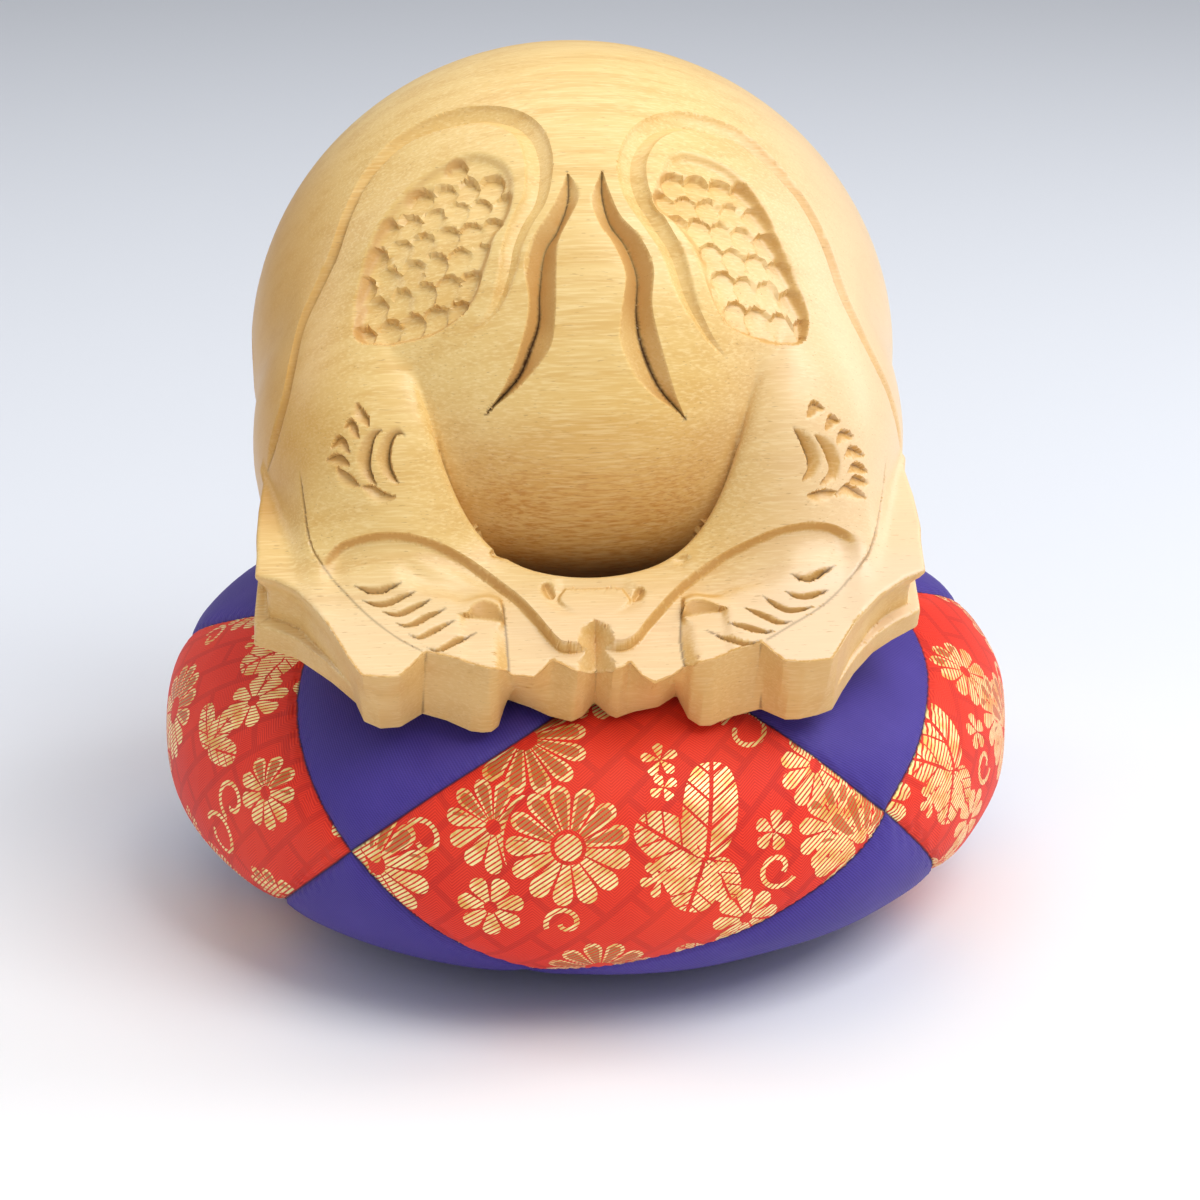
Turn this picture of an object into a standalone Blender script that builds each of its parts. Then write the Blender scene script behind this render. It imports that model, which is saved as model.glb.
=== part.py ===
"""Mokugyo: a carved wooden fish drum that rests, nose down, in its round patchwork cushion.

Two pieces: the drum, one block of wood hollowed through its mouth, and the stuffed cushion.
Metres, +Z up, the carved handle faces -Y, the mouth slit faces +Y. The origin is on the table,
under the middle of the cushion. The drum is drawn level in its own frame (x across, -y towards
the handle, z up through the crown) and is then tipped forward onto the cushion.
"""
import math

import bmesh
import bpy
from mathutils import Vector

MM = 0.001
GAP = 0.4 * MM                      # clearance between the drum and the cushion it sits in

# How the drum lies on the cushion.
TILT = math.radians(30.0)           # handle end down
DRUM_AT = (-1.8 * MM, -4.8 * MM, 75.8 * MM)

# The drum's body: an egg, its handle side a little shorter than its back.
BODY_WIDE = 44.6 * MM               # half width
BODY_BACK = 44.5 * MM               # centre to the back
BODY_FRONT = 41.0 * MM              # centre to the belly
BODY_UP = 41.5 * MM                 # centre to the crown
BODY_DOWN = 37.5 * MM               # centre to the bottom
BODY_Y = 5.0 * MM                   # the egg's centre lies behind the drum's own origin

# The two arms, which swell out of the body and carry the handle.
ARM_AT = (25.0 * MM, -12.0 * MM)    # middle of one arm
ARM_WIDE = 19.0 * MM
ARM_LONG = 27.0 * MM
ARM_HIGH = 26.0 * MM

# The handle slab.
SLAB_THICK = 12.8 * MM
SLAB_HALF_WIDE = 42.7 * MM
NOSE_Y = 57.4 * MM                  # the furthest the handle reaches forward
SHOULDER_Y = 22.0 * MM              # where its straight sides leave the body

# The ring hole between the belly and the handle.
RING_Y = 20.9 * MM
RING_RADIUS = 20.3 * MM
RING_FLARE = 5.5 * MM               # how much wider the hole is at the crown's height

# The hollow, the mouth slit and its two round ends.
WALL = 8.0 * MM
MOUTH_HIGH = 5.6 * MM
MOUTH_END_Y = 4.0 * MM              # the slit runs from the back as far as here
MOUTH_END_RADIUS = 5.0 * MM

# The carving.
FACE_DROP = 1.3 * MM                # the dragons' faces lie this far below the handle's top
CHANNEL_WIDE = 2.2 * MM
CHANNEL_DEEP = 0.9 * MM
FLAME_WIDE = 4.4 * MM
FLAME_DEEP = 2.6 * MM
GILL_DEEP = 0.8 * MM
BLOCK_RESOLUTION = 1.5 * MM         # the grain of the rough form before it is smoothed
BLOCK_SMOOTHING = 6
BLOCK_KEEP = 0.10                   # share of the rough form's faces that is kept

# The cushion.
CUSHION_RADIUS = 60.8 * MM
CUSHION_WAIST = 23.4 * MM           # height of its widest level
CUSHION_CROWN = 25.6 * MM           # rise of its top above that
CUSHION_SQUASH = 1.2 * MM           # how far its own weight flattens its underside
CUSHION_ROUND_OUT = 2.67            # exponents of its rounded profile, outwards,
CUSHION_ROUND_UP = 2.65             # upwards
CUSHION_ROUND_DOWN = 2.34           # and downwards
CUSHION_SEGMENTS = 48
CUSHION_RINGS = 20


def clear_scene():
    """Remove whatever the scene holds."""
    for old in list(bpy.data.objects):
        bpy.data.objects.remove(old, do_unlink=True)


def make_material(name, colour, roughness):
    """A plain Principled BSDF."""
    material = bpy.data.materials.new(name)
    material.use_nodes = True
    shader = material.node_tree.nodes["Principled BSDF"]
    shader.inputs["Base Color"].default_value = (*colour, 1.0)
    shader.inputs["Roughness"].default_value = roughness
    shader.inputs["Metallic"].default_value = 0.0
    return material


def add_object(name, shape):
    """Turn a bmesh into an object of that name, with its faces pointing out."""
    bmesh.ops.recalc_face_normals(shape, faces=shape.faces)
    mesh = bpy.data.meshes.new(name)
    shape.to_mesh(mesh)
    shape.free()
    placed = bpy.data.objects.new(name, mesh)
    bpy.context.scene.collection.objects.link(placed)
    return placed


def lay_on_cushion(piece):
    """Tip a piece drawn in the drum's own frame forward and set it down."""
    piece.location = DRUM_AT
    piece.rotation_euler = (TILT, 0.0, 0.0)


def make_cutter(name, shape):
    """An object in the drum's frame that only cuts or adds, and is no piece itself."""
    cutter = add_object(name, shape)
    cutter.hide_render = True
    cutter.display_type = "WIRE"
    lay_on_cushion(cutter)
    return cutter


def boolean(target, cutter, operation):
    """Cut the target with the cutter, add it, or keep what they share."""
    step = target.modifiers.new(f"{operation.lower()} {cutter.name}", "BOOLEAN")
    step.object = cutter
    step.operation = operation
    step.solver = "EXACT"


def add_egg(shape, grow=0.0, segments=48, rings=26):
    """The body's egg, grown or shrunk by the same amount all over."""
    ball = bmesh.ops.create_uvsphere(shape, u_segments=segments, v_segments=rings, radius=1.0)
    for vertex in ball["verts"]:
        x, y, z = vertex.co
        length = BODY_FRONT if y < 0.0 else BODY_BACK
        height = BODY_UP if z > 0.0 else BODY_DOWN
        vertex.co = (x * (BODY_WIDE + grow), y * (length + grow) + BODY_Y, z * (height + grow))


def add_arms(shape):
    """The two swellings behind the handle, from which the arms are carved."""
    for half in (1.0, -1.0):
        ball = bmesh.ops.create_uvsphere(shape, u_segments=36, v_segments=20, radius=1.0)
        for vertex in ball["verts"]:
            x, y, z = vertex.co
            vertex.co = (half * ARM_AT[0] + x * ARM_WIDE, ARM_AT[1] + y * ARM_LONG, z * ARM_HIGH)


def add_prism(shape, outline, low, high):
    """A closed prism over an outline of (x, y) points, between two heights."""
    bottom = [shape.verts.new((x, y, low)) for x, y in outline]
    face = shape.faces.new(bottom)
    raised = bmesh.ops.extrude_face_region(shape, geom=[face])
    top = [item for item in raised["geom"] if isinstance(item, bmesh.types.BMVert)]
    bmesh.ops.translate(shape, verts=top, vec=(0.0, 0.0, high - low))


def add_round_cutter(shape, centre_y, levels):
    """A closed turned form about an upright axis, from (radius, height) levels."""
    count = 48
    loops = []
    for radius, height in levels:
        loop = []
        for step in range(count):
            angle = 2.0 * math.pi * step / count
            loop.append(shape.verts.new((radius * math.sin(angle), centre_y - radius * math.cos(angle), height)))
        loops.append(loop)
    for lower, upper in zip(loops, loops[1:]):
        for step in range(count):
            following = (step + 1) % count
            shape.faces.new((lower[step], lower[following], upper[following], upper[step]))
    shape.faces.new(loops[0])
    shape.faces.new(loops[-1])


def mirrored(half):
    """A closed outline from its +x half, which runs from the front's middle to the back's."""
    other = [(-x, y) for x, y in reversed(half) if x > 0.0]
    return half + other


def millimetres(points):
    """Points given as (x across, distance in front of the drum's origin), as (x, y) in metres."""
    return [(x * MM, -ahead * MM) for x, ahead in points]


def handle_outline():
    """The handle as seen from above: two snouts, two stepped blocks and the scooped corners."""
    nose = NOSE_Y / MM
    side = SLAB_HALF_WIDE / MM
    shoulder = SHOULDER_Y / MM
    snout = [(0.0, nose - 4.9), (2.2, nose - 0.8), (5.3, nose - 2.6), (7.4, nose), (10.4, nose - 0.9)]
    inner_block = [(11.4, nose - 4.6), (12.9, nose - 1.5), (16.0, nose - 2.7), (21.2, nose - 5.0)]
    outer_block = [(23.2, nose - 2.2), (25.0, nose - 1.0), (29.2, nose - 1.2)]
    scoop = [(30.6, nose - 3.2), (32.3, nose - 6.4), (34.4, nose - 9.6), (37.0, nose - 12.9), (39.8, nose - 15.3)]
    corner = [(side, nose - 16.6), (side, shoulder + 2.0)]
    body = [(side + 6.0, shoulder - 1.0), (side + 12.0, shoulder - 20.0), (side + 12.0, -60.0), (0.0, -60.0)]
    return mirrored(millimetres(snout + inner_block + outer_block + scoop + corner + body))


def surface_height(x, y):
    """Height of the drum's upper surface over a point of its own frame."""
    length = BODY_FRONT if y < BODY_Y else BODY_BACK
    egg = 1.0 - (x / BODY_WIDE) ** 2 - ((y - BODY_Y) / length) ** 2
    arm = 1.0 - ((abs(x) - ARM_AT[0]) / ARM_WIDE) ** 2 - ((y - ARM_AT[1]) / ARM_LONG) ** 2
    body = BODY_UP * math.sqrt(max(egg, 0.0))
    shoulder = ARM_HIGH * math.sqrt(max(arm, 0.0))
    in_ring = math.hypot(x, y + RING_Y) < RING_RADIUS
    return max(body, 0.0 if in_ring else shoulder, SLAB_THICK / 2)


def surface_normal(x, y):
    """Outward direction of the upper surface there, from its slope."""
    step = 0.5 * MM
    slope_x = (surface_height(x + step, y) - surface_height(x - step, y)) / (2 * step)
    slope_y = (surface_height(x, y + step) - surface_height(x, y - step)) / (2 * step)
    return Vector((-slope_x, -slope_y, 1.0)).normalized()


def smooth_curve(points, count):
    """Evenly numbered points of a Catmull-Rom curve through the given ones."""
    ends = [points[0]] + points + [points[-1]]
    result = []
    for index in range(count + 1):
        place = index / count * (len(points) - 1)
        start = min(int(place), len(points) - 2)
        t = place - start
        a, b, c, d = (Vector(p) for p in ends[start:start + 4])
        result.append(0.5 * (2 * b + (c - a) * t + (2 * a - 5 * b + 4 * c - d) * t ** 2
                             + (3 * b - a - 3 * c + d) * t ** 3))
    return result


def add_groove(shape, points, wide, deep, count, fade=0.35):
    """A V-shaped chisel cut that follows a curve over the upper surface and fades at its ends."""
    path = smooth_curve(points, count)
    clear = 1.2 * MM
    sections = []
    for index, (x, y) in enumerate(path):
        ahead = path[min(index + 1, count)]
        behind = path[max(index - 1, 0)]
        normal = surface_normal(x, y)
        height = surface_height(x, y)
        rise = Vector((ahead.x, ahead.y, surface_height(ahead.x, ahead.y)))
        fall = Vector((behind.x, behind.y, surface_height(behind.x, behind.y)))
        side = (rise - fall).cross(normal).normalized()
        share = min(1.0, min(index, count - index) / (count * fade) + 0.08)
        share = math.sin(share * math.pi / 2)
        on_surface = Vector((x, y, height))
        spread = side * (wide / 2 * share * (1.0 + clear / (deep * share)))
        sections.append([shape.verts.new(on_surface + normal * clear - spread),
                         shape.verts.new(on_surface - normal * deep * share),
                         shape.verts.new(on_surface + normal * clear + spread)])
    for first, second in zip(sections, sections[1:]):
        for corner in range(3):
            following = (corner + 1) % 3
            shape.faces.new((first[corner], first[following], second[following], second[corner]))
    shape.faces.new(sections[0])
    shape.faces.new(sections[-1])


def on_both_sides(points):
    """The same curve on the right and on the left of the drum."""
    right = [Vector((x, y)) for x, y in millimetres(points)]
    return right, [Vector((-p.x, p.y)) for p in right]


def make_carving():
    """The chisel cuts: the flames beside the crown, the channels round the dragons and their gills."""
    flame = [(2.0, 2.4), (2.2, 6.7), (4.2, 11.0), (5.9, 14.8), (6.4, 19.6), (8.2, 24.2), (12.9, 27.9)]
    channel = [(5.2, 5.4), (5.2, -0.6), (7.0, -4.4), (11.8, -8.0), (18.7, -9.4), (24.4, -7.4), (28.6, -2.4),
               (31.4, 4.0), (35.6, 10.6), (38.0, 17.0), (40.0, 22.0)]
    neck = [(5.9, 6.9), (9.8, 10.4), (12.2, 15.6), (15.4, 18.6), (19.4, 19.4)]
    carvings = [("flame_cuts", flame, FLAME_WIDE, FLAME_DEEP, 14, 0.35),
                ("channel_cuts", channel, CHANNEL_WIDE, CHANNEL_DEEP, 20, 0.1),
                ("neck_cuts", neck, CHANNEL_WIDE, CHANNEL_DEEP, 8, 0.2)]
    cutters = []
    for name, curve, wide, deep, count, fade in carvings:
        cuts = bmesh.new()
        for side in on_both_sides(curve):
            add_groove(cuts, side, wide, deep, count, fade)
        cutters.append(make_cutter(name, cuts))
    return cutters


def make_faces():
    """The sunk faces of the two dragons in front of their brows, and the cleft between their snouts."""
    brow = [(0.0, 51.6), (3.6, 52.2), (5.1, 51.0), (8.2, 46.4), (13.6, 40.0), (18.8, 35.6), (24.6, 33.4),
            (30.0, 33.2), (34.6, 36.6), (36.0, 39.0), (46.0, 44.0), (46.0, 64.0), (0.0, 64.0)]
    top = SLAB_THICK / 2
    cuts = bmesh.new()
    add_prism(cuts, mirrored(millimetres(brow)), top - FACE_DROP, top + 4.0 * MM)
    return make_cutter("face_cuts", cuts)


def make_gills():
    """Six crescent gill cuts and one eye cut on each face."""
    cuts = bmesh.new()
    top = SLAB_THICK / 2 - FACE_DROP
    for row in range(6):
        across = 30.2 - 1.9 * row
        ahead = 42.0 + 2.0 * row
        crescent = [(across, ahead), (across - 2.4, ahead + 1.5), (across - 6.2, ahead - 1.0 - 0.2 * row),
                    (across - 3.4, ahead + 0.5)]
        for half in (1.0, -1.0):
            outline = [(half * x, y) for x, y in millimetres(crescent)]
            add_prism(cuts, outline, top - GILL_DEEP, top + 1.0 * MM)
    for half in (1.0, -1.0):
        outline = [(half * x, y) for x, y in millimetres([(16.0, 48.6), (13.4, 45.6), (11.9, 48.8)])]
        add_prism(cuts, outline, top - 2.0 * MM, top + 1.0 * MM)
    return make_cutter("gill_cuts", cuts)


def make_hollow():
    """The sounding hollow with the mouth slit behind it and the slit's two round ends."""
    hollow = bmesh.new()
    add_egg(hollow, grow=-WALL, segments=28, rings=16)
    cavity = make_cutter("cavity", hollow)

    slit = bmesh.new()
    reach = BODY_WIDE + 5.0 * MM
    back = BODY_BACK + BODY_Y + 5.0 * MM
    inner = MOUTH_END_Y
    outline = [(-reach, inner), (reach, inner), (reach, back), (-reach, back)]
    add_prism(slit, outline, -MOUTH_HIGH / 2, MOUTH_HIGH / 2)
    mouth = make_cutter("mouth_slit", slit)

    ends = bmesh.new()
    drill = bmesh.ops.create_cone(ends, cap_ends=True, segments=24, radius1=MOUTH_END_RADIUS,
                                  radius2=MOUTH_END_RADIUS, depth=2.0 * reach)
    for vertex in drill["verts"]:
        x, y, z = vertex.co
        vertex.co = (z, y + MOUTH_END_Y, -x)
    drilled = make_cutter("mouth_ends", ends)
    return cavity, mouth, drilled


def make_ring():
    """What is cut away between the belly and the handle: a flared round hole around the belly."""
    hole = bmesh.new()
    flare_start = SLAB_THICK / 2
    far = 60.0 * MM
    wide = RING_RADIUS + RING_FLARE
    levels = [(wide, -far), (wide, -BODY_UP), (RING_RADIUS, -flare_start),
              (RING_RADIUS, flare_start), (wide, BODY_UP), (wide, far)]
    add_round_cutter(hole, -RING_Y, levels)
    ring = make_cutter("ring_hole", hole)
    belly = bmesh.new()
    add_egg(belly)
    boolean(ring, make_cutter("belly", belly), "DIFFERENCE")
    return ring


def make_block(name, thicken=0.0):
    """The drum's rough form, body, arms and handle run into each other, as one soft skin."""
    form = bmesh.new()
    add_egg(form)
    add_arms(form)
    side = SLAB_HALF_WIDE + 1.4 * MM
    front = -(NOSE_Y + 5.0 * MM)
    slab = [(-side, front), (side, front), (side, -6.0 * MM), (-side, -6.0 * MM)]
    add_prism(form, slab, -SLAB_THICK / 2, SLAB_THICK / 2)
    block = add_object(name, form)
    lay_on_cushion(block)
    skin = block.modifiers.new("one skin", "REMESH")
    skin.mode = "VOXEL"
    skin.voxel_size = BLOCK_RESOLUTION
    soften = block.modifiers.new("soft transitions", "SMOOTH")
    soften.iterations = BLOCK_SMOOTHING
    if thicken:
        grow = block.modifiers.new("clearance", "DISPLACE")
        grow.mid_level = 0.0
        grow.strength = thicken
    fewer = block.modifiers.new("fewer faces", "DECIMATE")
    fewer.ratio = BLOCK_KEEP
    return block


def make_drum(wood):
    """The drum: the rough form, cut to its outline, hollowed and carved."""
    drum = make_block("mokugyo")
    outline = bmesh.new()
    add_prism(outline, handle_outline(), -70.0 * MM, 70.0 * MM)
    boolean(drum, make_cutter("handle_outline", outline), "INTERSECT")
    boolean(drum, make_ring(), "DIFFERENCE")
    boolean(drum, make_faces(), "DIFFERENCE")
    boolean(drum, make_gills(), "DIFFERENCE")
    for cutter in (*make_carving(), *make_hollow()):
        boolean(drum, cutter, "DIFFERENCE")
    drum.data.materials.append(wood)
    return drum


def cushion_profile():
    """(radius, height) pairs of the cushion's side, from its flat base to the top's middle."""
    points = []
    for step in range(CUSHION_RINGS + 1):
        angle = -math.pi / 2 + math.pi * step / CUSHION_RINGS
        radius = CUSHION_RADIUS * max(math.cos(angle), 0.0) ** (2 / CUSHION_ROUND_OUT)
        swell = abs(math.sin(angle))
        if angle > 0.0:
            height = CUSHION_WAIST + CUSHION_CROWN * swell ** (2 / CUSHION_ROUND_UP)
        else:
            height = CUSHION_WAIST - (CUSHION_WAIST + CUSHION_SQUASH) * swell ** (2 / CUSHION_ROUND_DOWN)
        if height > 0.0:
            points.append((radius, height))
    swell_at_base = (CUSHION_WAIST / (CUSHION_WAIST + CUSHION_SQUASH)) ** (CUSHION_ROUND_DOWN / 2)
    base_radius = CUSHION_RADIUS * (1.0 - swell_at_base ** 2) ** (1 / CUSHION_ROUND_OUT)
    return [(base_radius, 0.0)] + points


def make_cushion(cloth):
    """The stuffed round cushion, with the dimple that the drum presses into it."""
    shape = bmesh.new()
    profile = cushion_profile()
    loops = []
    for radius, height in profile[:-1]:
        loop = []
        for step in range(CUSHION_SEGMENTS):
            angle = 2.0 * math.pi * step / CUSHION_SEGMENTS
            loop.append(shape.verts.new((radius * math.sin(angle), -radius * math.cos(angle), height)))
        loops.append(loop)
    for lower, upper in zip(loops, loops[1:]):
        for step in range(CUSHION_SEGMENTS):
            following = (step + 1) % CUSHION_SEGMENTS
            shape.faces.new((lower[step], lower[following], upper[following], upper[step]))
    shape.faces.new(loops[0])
    middle = shape.verts.new((0.0, 0.0, profile[-1][1]))
    for step in range(CUSHION_SEGMENTS):
        shape.faces.new((loops[-1][step], loops[-1][(step + 1) % CUSHION_SEGMENTS], middle))
    cushion = add_object("cushion", shape)
    cushion.data.materials.append(cloth)

    dimple = make_block("dimple", thicken=GAP)
    dimple.hide_render = True
    dimple.display_type = "WIRE"
    boolean(cushion, dimple, "DIFFERENCE")
    return cushion


def main():
    """Build both pieces."""
    clear_scene()
    wood = make_material("yellow wood", (0.78, 0.56, 0.30), 0.42)
    cloth = make_material("brocade", (0.62, 0.05, 0.03), 0.6)
    for piece in (make_drum(wood), make_cushion(cloth)):
        piece.data.shade_smooth()


main()
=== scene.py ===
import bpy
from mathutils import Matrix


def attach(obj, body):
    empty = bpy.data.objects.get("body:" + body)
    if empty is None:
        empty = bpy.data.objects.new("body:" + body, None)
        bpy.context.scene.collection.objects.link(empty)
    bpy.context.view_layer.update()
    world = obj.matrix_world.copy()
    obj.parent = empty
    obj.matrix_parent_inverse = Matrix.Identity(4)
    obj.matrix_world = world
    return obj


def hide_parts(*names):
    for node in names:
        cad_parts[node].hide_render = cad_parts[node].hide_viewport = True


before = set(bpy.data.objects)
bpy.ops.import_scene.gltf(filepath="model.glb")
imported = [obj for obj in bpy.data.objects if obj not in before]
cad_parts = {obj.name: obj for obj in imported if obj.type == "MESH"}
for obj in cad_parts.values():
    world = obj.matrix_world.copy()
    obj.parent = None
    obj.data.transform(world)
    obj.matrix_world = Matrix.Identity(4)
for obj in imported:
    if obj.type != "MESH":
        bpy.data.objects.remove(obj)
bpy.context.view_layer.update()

import math

import bpy
import numpy as np
from mathutils import Vector
from mathutils.kdtree import KDTree

# ---------------------------------------------------------------------------------------------
# The drum's rough block: one piece of pale, close-grained wood, turned and sawn to an egg with
# two swelling arms and a flat handle, with a round hole bored between handle and belly.
# It lies nose down in the cushion, by its own weight.
# ---------------------------------------------------------------------------------------------
MM = 0.001
DRUM_AT, DRUM_TILT = (-1.8, -4.8, 75.8), math.radians(30.0)
# sizes in mm in the drum's own frame: across, ahead towards the handle, and up through the crown
EGG = {"behind": 5.0, "half_wide": 44.6, "front": 41.0, "back": 44.5, "up": 41.5, "down": 37.5}
ARM_AT = (25.0, 12.0)
ARM_HALF = (19.0, 27.0, 26.0)
SLAB_HALF, SLAB_WIDE, SLAB_BEHIND = 6.4, 44.2, 21.5
RING_AHEAD, RING_RADIUS = 20.9, 20.3
SHOULDER_FROM, LEDGE = (30.0, 33.0), -2.2     # each shoulder is scooped down to a ledge

# the handle's outline on its top face and on its underside, from the left shoulder round the
# two dragons' muzzles to the right shoulder
TOP_OUTLINE = [
    (-43.9, 16.0), (-42.2, 24.0), (-42.7, 28.8), (-43.2, 40.0), (-40.3, 40.9), (-38.1, 42.4),
    (-35.6, 45.7), (-33.2, 49.5), (-31.4, 53.1), (-29.5, 56.4), (-26.1, 56.8), (-24.7, 56.6),
    (-22.9, 54.7), (-21.5, 52.8), (-18.7, 53.6), (-15.0, 55.0), (-13.5, 55.7), (-12.6, 55.6),
    (-11.3, 55.2), (-10.8, 55.8),
    (-7.9, 56.3), (-6.4, 54.6), (-5.6, 53.3), (-4.3, 54.1), (-2.5, 55.4), (-1.2, 54.4),
    (0.0, 53.5), (1.1, 54.2), (1.9, 55.3), (3.3, 54.8), (4.2, 54.0), (5.4, 56.3), (7.1, 57.8),
    (9.7, 56.4), (11.2, 55.0), (12.1, 55.6), (14.7, 54.9), (17.9, 53.4), (20.8, 52.5),
    (23.4, 55.6), (26.0, 55.9), (29.6, 55.5), (31.3, 52.7), (33.4, 49.5), (36.9, 45.6),
    (40.5, 42.9), (43.4, 41.6), (43.5, 34.0), (43.2, 28.6), (42.6, 24.0), (43.9, 16.0)]
LOW_OUTLINE = [
    (-43.9, 16.0), (-42.3, 24.0), (-43.0, 28.8), (-43.8, 41.4), (-38.2, 43.8), (-33.6, 47.9),
    (-30.5, 51.3), (-29.5, 54.3), (-27.4, 55.5), (-24.8, 55.3), (-22.0, 53.3), (-19.0, 54.5),
    (-16.0, 56.3), (-14.5, 56.6), (-13.2, 56.5), (-12.3, 55.6), (-11.2, 51.2), (-8.3, 52.6),
    (-5.8, 54.2), (-3.0, 55.2), (-1.5, 54.4), (0.1, 52.2), (1.8, 54.2), (2.8, 54.8), (5.2, 53.8), (8.3, 53.1),
    (10.9, 51.2), (11.2, 52.5), (12.0, 55.1), (13.4, 56.4), (14.9, 56.4), (17.9, 55.0),
    (21.5, 53.9), (24.5, 55.7), (26.3, 55.7), (28.8, 55.1), (30.8, 54.3), (32.4, 51.4),
    (34.3, 48.4), (37.1, 45.1), (39.8, 43.1), (43.6, 40.8), (43.3, 28.6), (42.7, 24.0), (43.9, 16.0)]
# the saw goes well clear of the body, and its outline matters from the handle forward
CLEAR_OF_BODY = 70.0
ROUND_THE_BODY = [(CLEAR_OF_BODY, 19.0), (CLEAR_OF_BODY, -CLEAR_OF_BODY),
                  (-CLEAR_OF_BODY, -CLEAR_OF_BODY), (-CLEAR_OF_BODY, 19.0)]
TOP_SAWN, LOW_SAWN = TOP_OUTLINE + ROUND_THE_BODY, LOW_OUTLINE + ROUND_THE_BODY
SAWN_FROM = 14.0


def soft_min(a, b, blend):
    """The lesser of two distances, rounded where they meet."""
    share = np.clip(0.5 + 0.5 * (b - a) / blend, 0.0, 1.0)
    return b + (a - b) * share - blend * share * (1.0 - share)


def soft_max(a, b, blend):
    return -soft_min(-a, -b, blend)


def ease(t):
    """0 to 1, starting and stopping gently."""
    t = np.clip(t, 0.0, 1.0)
    return t * t * (3.0 - 2.0 * t)


def ellipsoid(points, half):
    near = np.sqrt(((points / half) ** 2).sum(-1))
    steep = np.sqrt(((points / half ** 2) ** 2).sum(-1))
    return near * (near - 1.0) / np.maximum(steep, 1e-9)


def egg(points):
    q = points + np.array([0.0, EGG["behind"], 0.0])
    half = np.empty_like(q)
    half[..., 0] = EGG["half_wide"]
    half[..., 1] = np.where(q[..., 1] > 0.0, EGG["front"], EGG["back"])
    half[..., 2] = np.where(q[..., 2] > 0.0, EGG["up"], EGG["down"])
    return ellipsoid(q, half)


def arms(points):
    q = points.copy()
    q[..., 0] = np.abs(points[..., 0]) - ARM_AT[0]
    q[..., 1] -= ARM_AT[1]
    return ellipsoid(q, np.array(ARM_HALF))


def inside_outline(outline, across, ahead):
    """Distance to a closed outline on the flat, negative inside it."""
    starts = np.array(outline)
    nearest = np.full(across.shape, 1e9)
    inside = np.zeros(across.shape, bool)
    for (ax, ay), (bx, by) in zip(starts, np.roll(starts, -1, 0)):
        ex, ey = bx - ax, by - ay
        t = np.clip(((across - ax) * ex + (ahead - ay) * ey) / max(ex * ex + ey * ey, 1e-12), 0.0, 1.0)
        nearest = np.minimum(nearest, (across - ax - t * ex) ** 2 + (ahead - ay - t * ey) ** 2)
        if ay != by:
            crosses = (ay > ahead) != (by > ahead)
            inside ^= crosses & (across < (bx - ax) * (ahead - ay) / (by - ay) + ax)
    return np.where(inside, -1.0, 1.0) * np.sqrt(nearest)


def sawn_edge(points):
    """Distance to the handle's sawn sides, with the scooped facet at either shoulder."""
    across, ahead, up = np.moveaxis(points, -1, 0)
    edge = np.full(across.shape, -5.0)
    front = ahead > SAWN_FROM
    if front.any():
        x, v, n = across[front], ahead[front], up[front]
        low = np.clip((SLAB_HALF - n) / (2.0 * SLAB_HALF), -0.3, 1.3)
        wall = inside_outline(TOP_SAWN, x, v) * (1.0 - low) + inside_outline(LOW_SAWN, x, v) * low
        wide = np.abs(x)
        corner = ease((wide - SHOULDER_FROM[0]) / 5.0) * ease((v - SHOULDER_FROM[1]) / 4.0)
        hollowed = (0.5 + 0.9 * ease((wide - 34.0) / 5.0)) * ease((5.9 - n) / 4.0)
        scoop = wall + corner * (0.25 + hollowed)
        ledge = np.minimum(scoop, soft_max(wall, n - LEDGE, 0.4))
        edge[front] = np.where(corner > 0.0, ledge, wall)
    return edge


def block_form(points):
    """Distance to the drum's rough form before it is carved, negative inside the wood."""
    across, ahead, up = np.moveaxis(points, -1, 0)
    wide = np.abs(across)
    above = np.maximum(up - SLAB_HALF, 0.0)
    slab = np.maximum.reduce([np.abs(up) - SLAB_HALF, wide - SLAB_WIDE, SLAB_BEHIND - ahead])
    frame_form = soft_min(arms(points), slab, 1.2 + 9.0 * ease((41.5 - wide) / 6.0))
    off_ring = np.hypot(across, ahead - RING_AHEAD)
    frame_form = soft_max(frame_form, RING_RADIUS + 0.04 * above - off_ring, 0.9 + 0.08 * above)
    melt = np.maximum(ease((off_ring - 22.0) / 6.0), ease((up - 23.0) / 5.0))
    melt = 0.4 + 3.6 * melt * (1.0 - 0.7 * ease((wide - 36.0) / 5.0))
    return soft_max(soft_min(egg(points), frame_form, melt), sawn_edge(points), 0.6)


def slope_of(points, step=0.02):
    """The direction in which the form's distance grows, as unit vectors."""
    here = block_form(points)
    slope = np.empty_like(points)
    for axis in range(3):
        moved = points.copy()
        moved[:, axis] += step
        slope[:, axis] = (block_form(moved) - here) / step
    size = np.sqrt((slope ** 2).sum(1, keepdims=True))
    return here, slope / np.maximum(size, 1e-6), np.maximum(size[:, 0], 0.3)


def settle(points, times=2):
    """Bring points onto the form's surface."""
    for _ in range(times):
        here, slope, steep = slope_of(points)
        points = points - slope * np.clip(here / steep, -1.5, 1.5)[:, None]
    return points


def triangles_of(piece):
    """A piece's points, and the corners of its triangles."""
    mesh = piece.data
    points = np.empty(len(mesh.vertices) * 3)
    mesh.vertices.foreach_get("co", points)
    mesh.calc_loop_triangles()
    corners = np.empty(len(mesh.loop_triangles) * 3, int)
    mesh.loop_triangles.foreach_get("vertices", corners)
    return points.reshape(-1, 3), corners.reshape(-1, 3)


def in_drum_frame(points):
    """From metres with y backwards to mm across, ahead and up, or the other way round."""
    return points * np.array([1.0, -1.0, 1.0])


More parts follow.
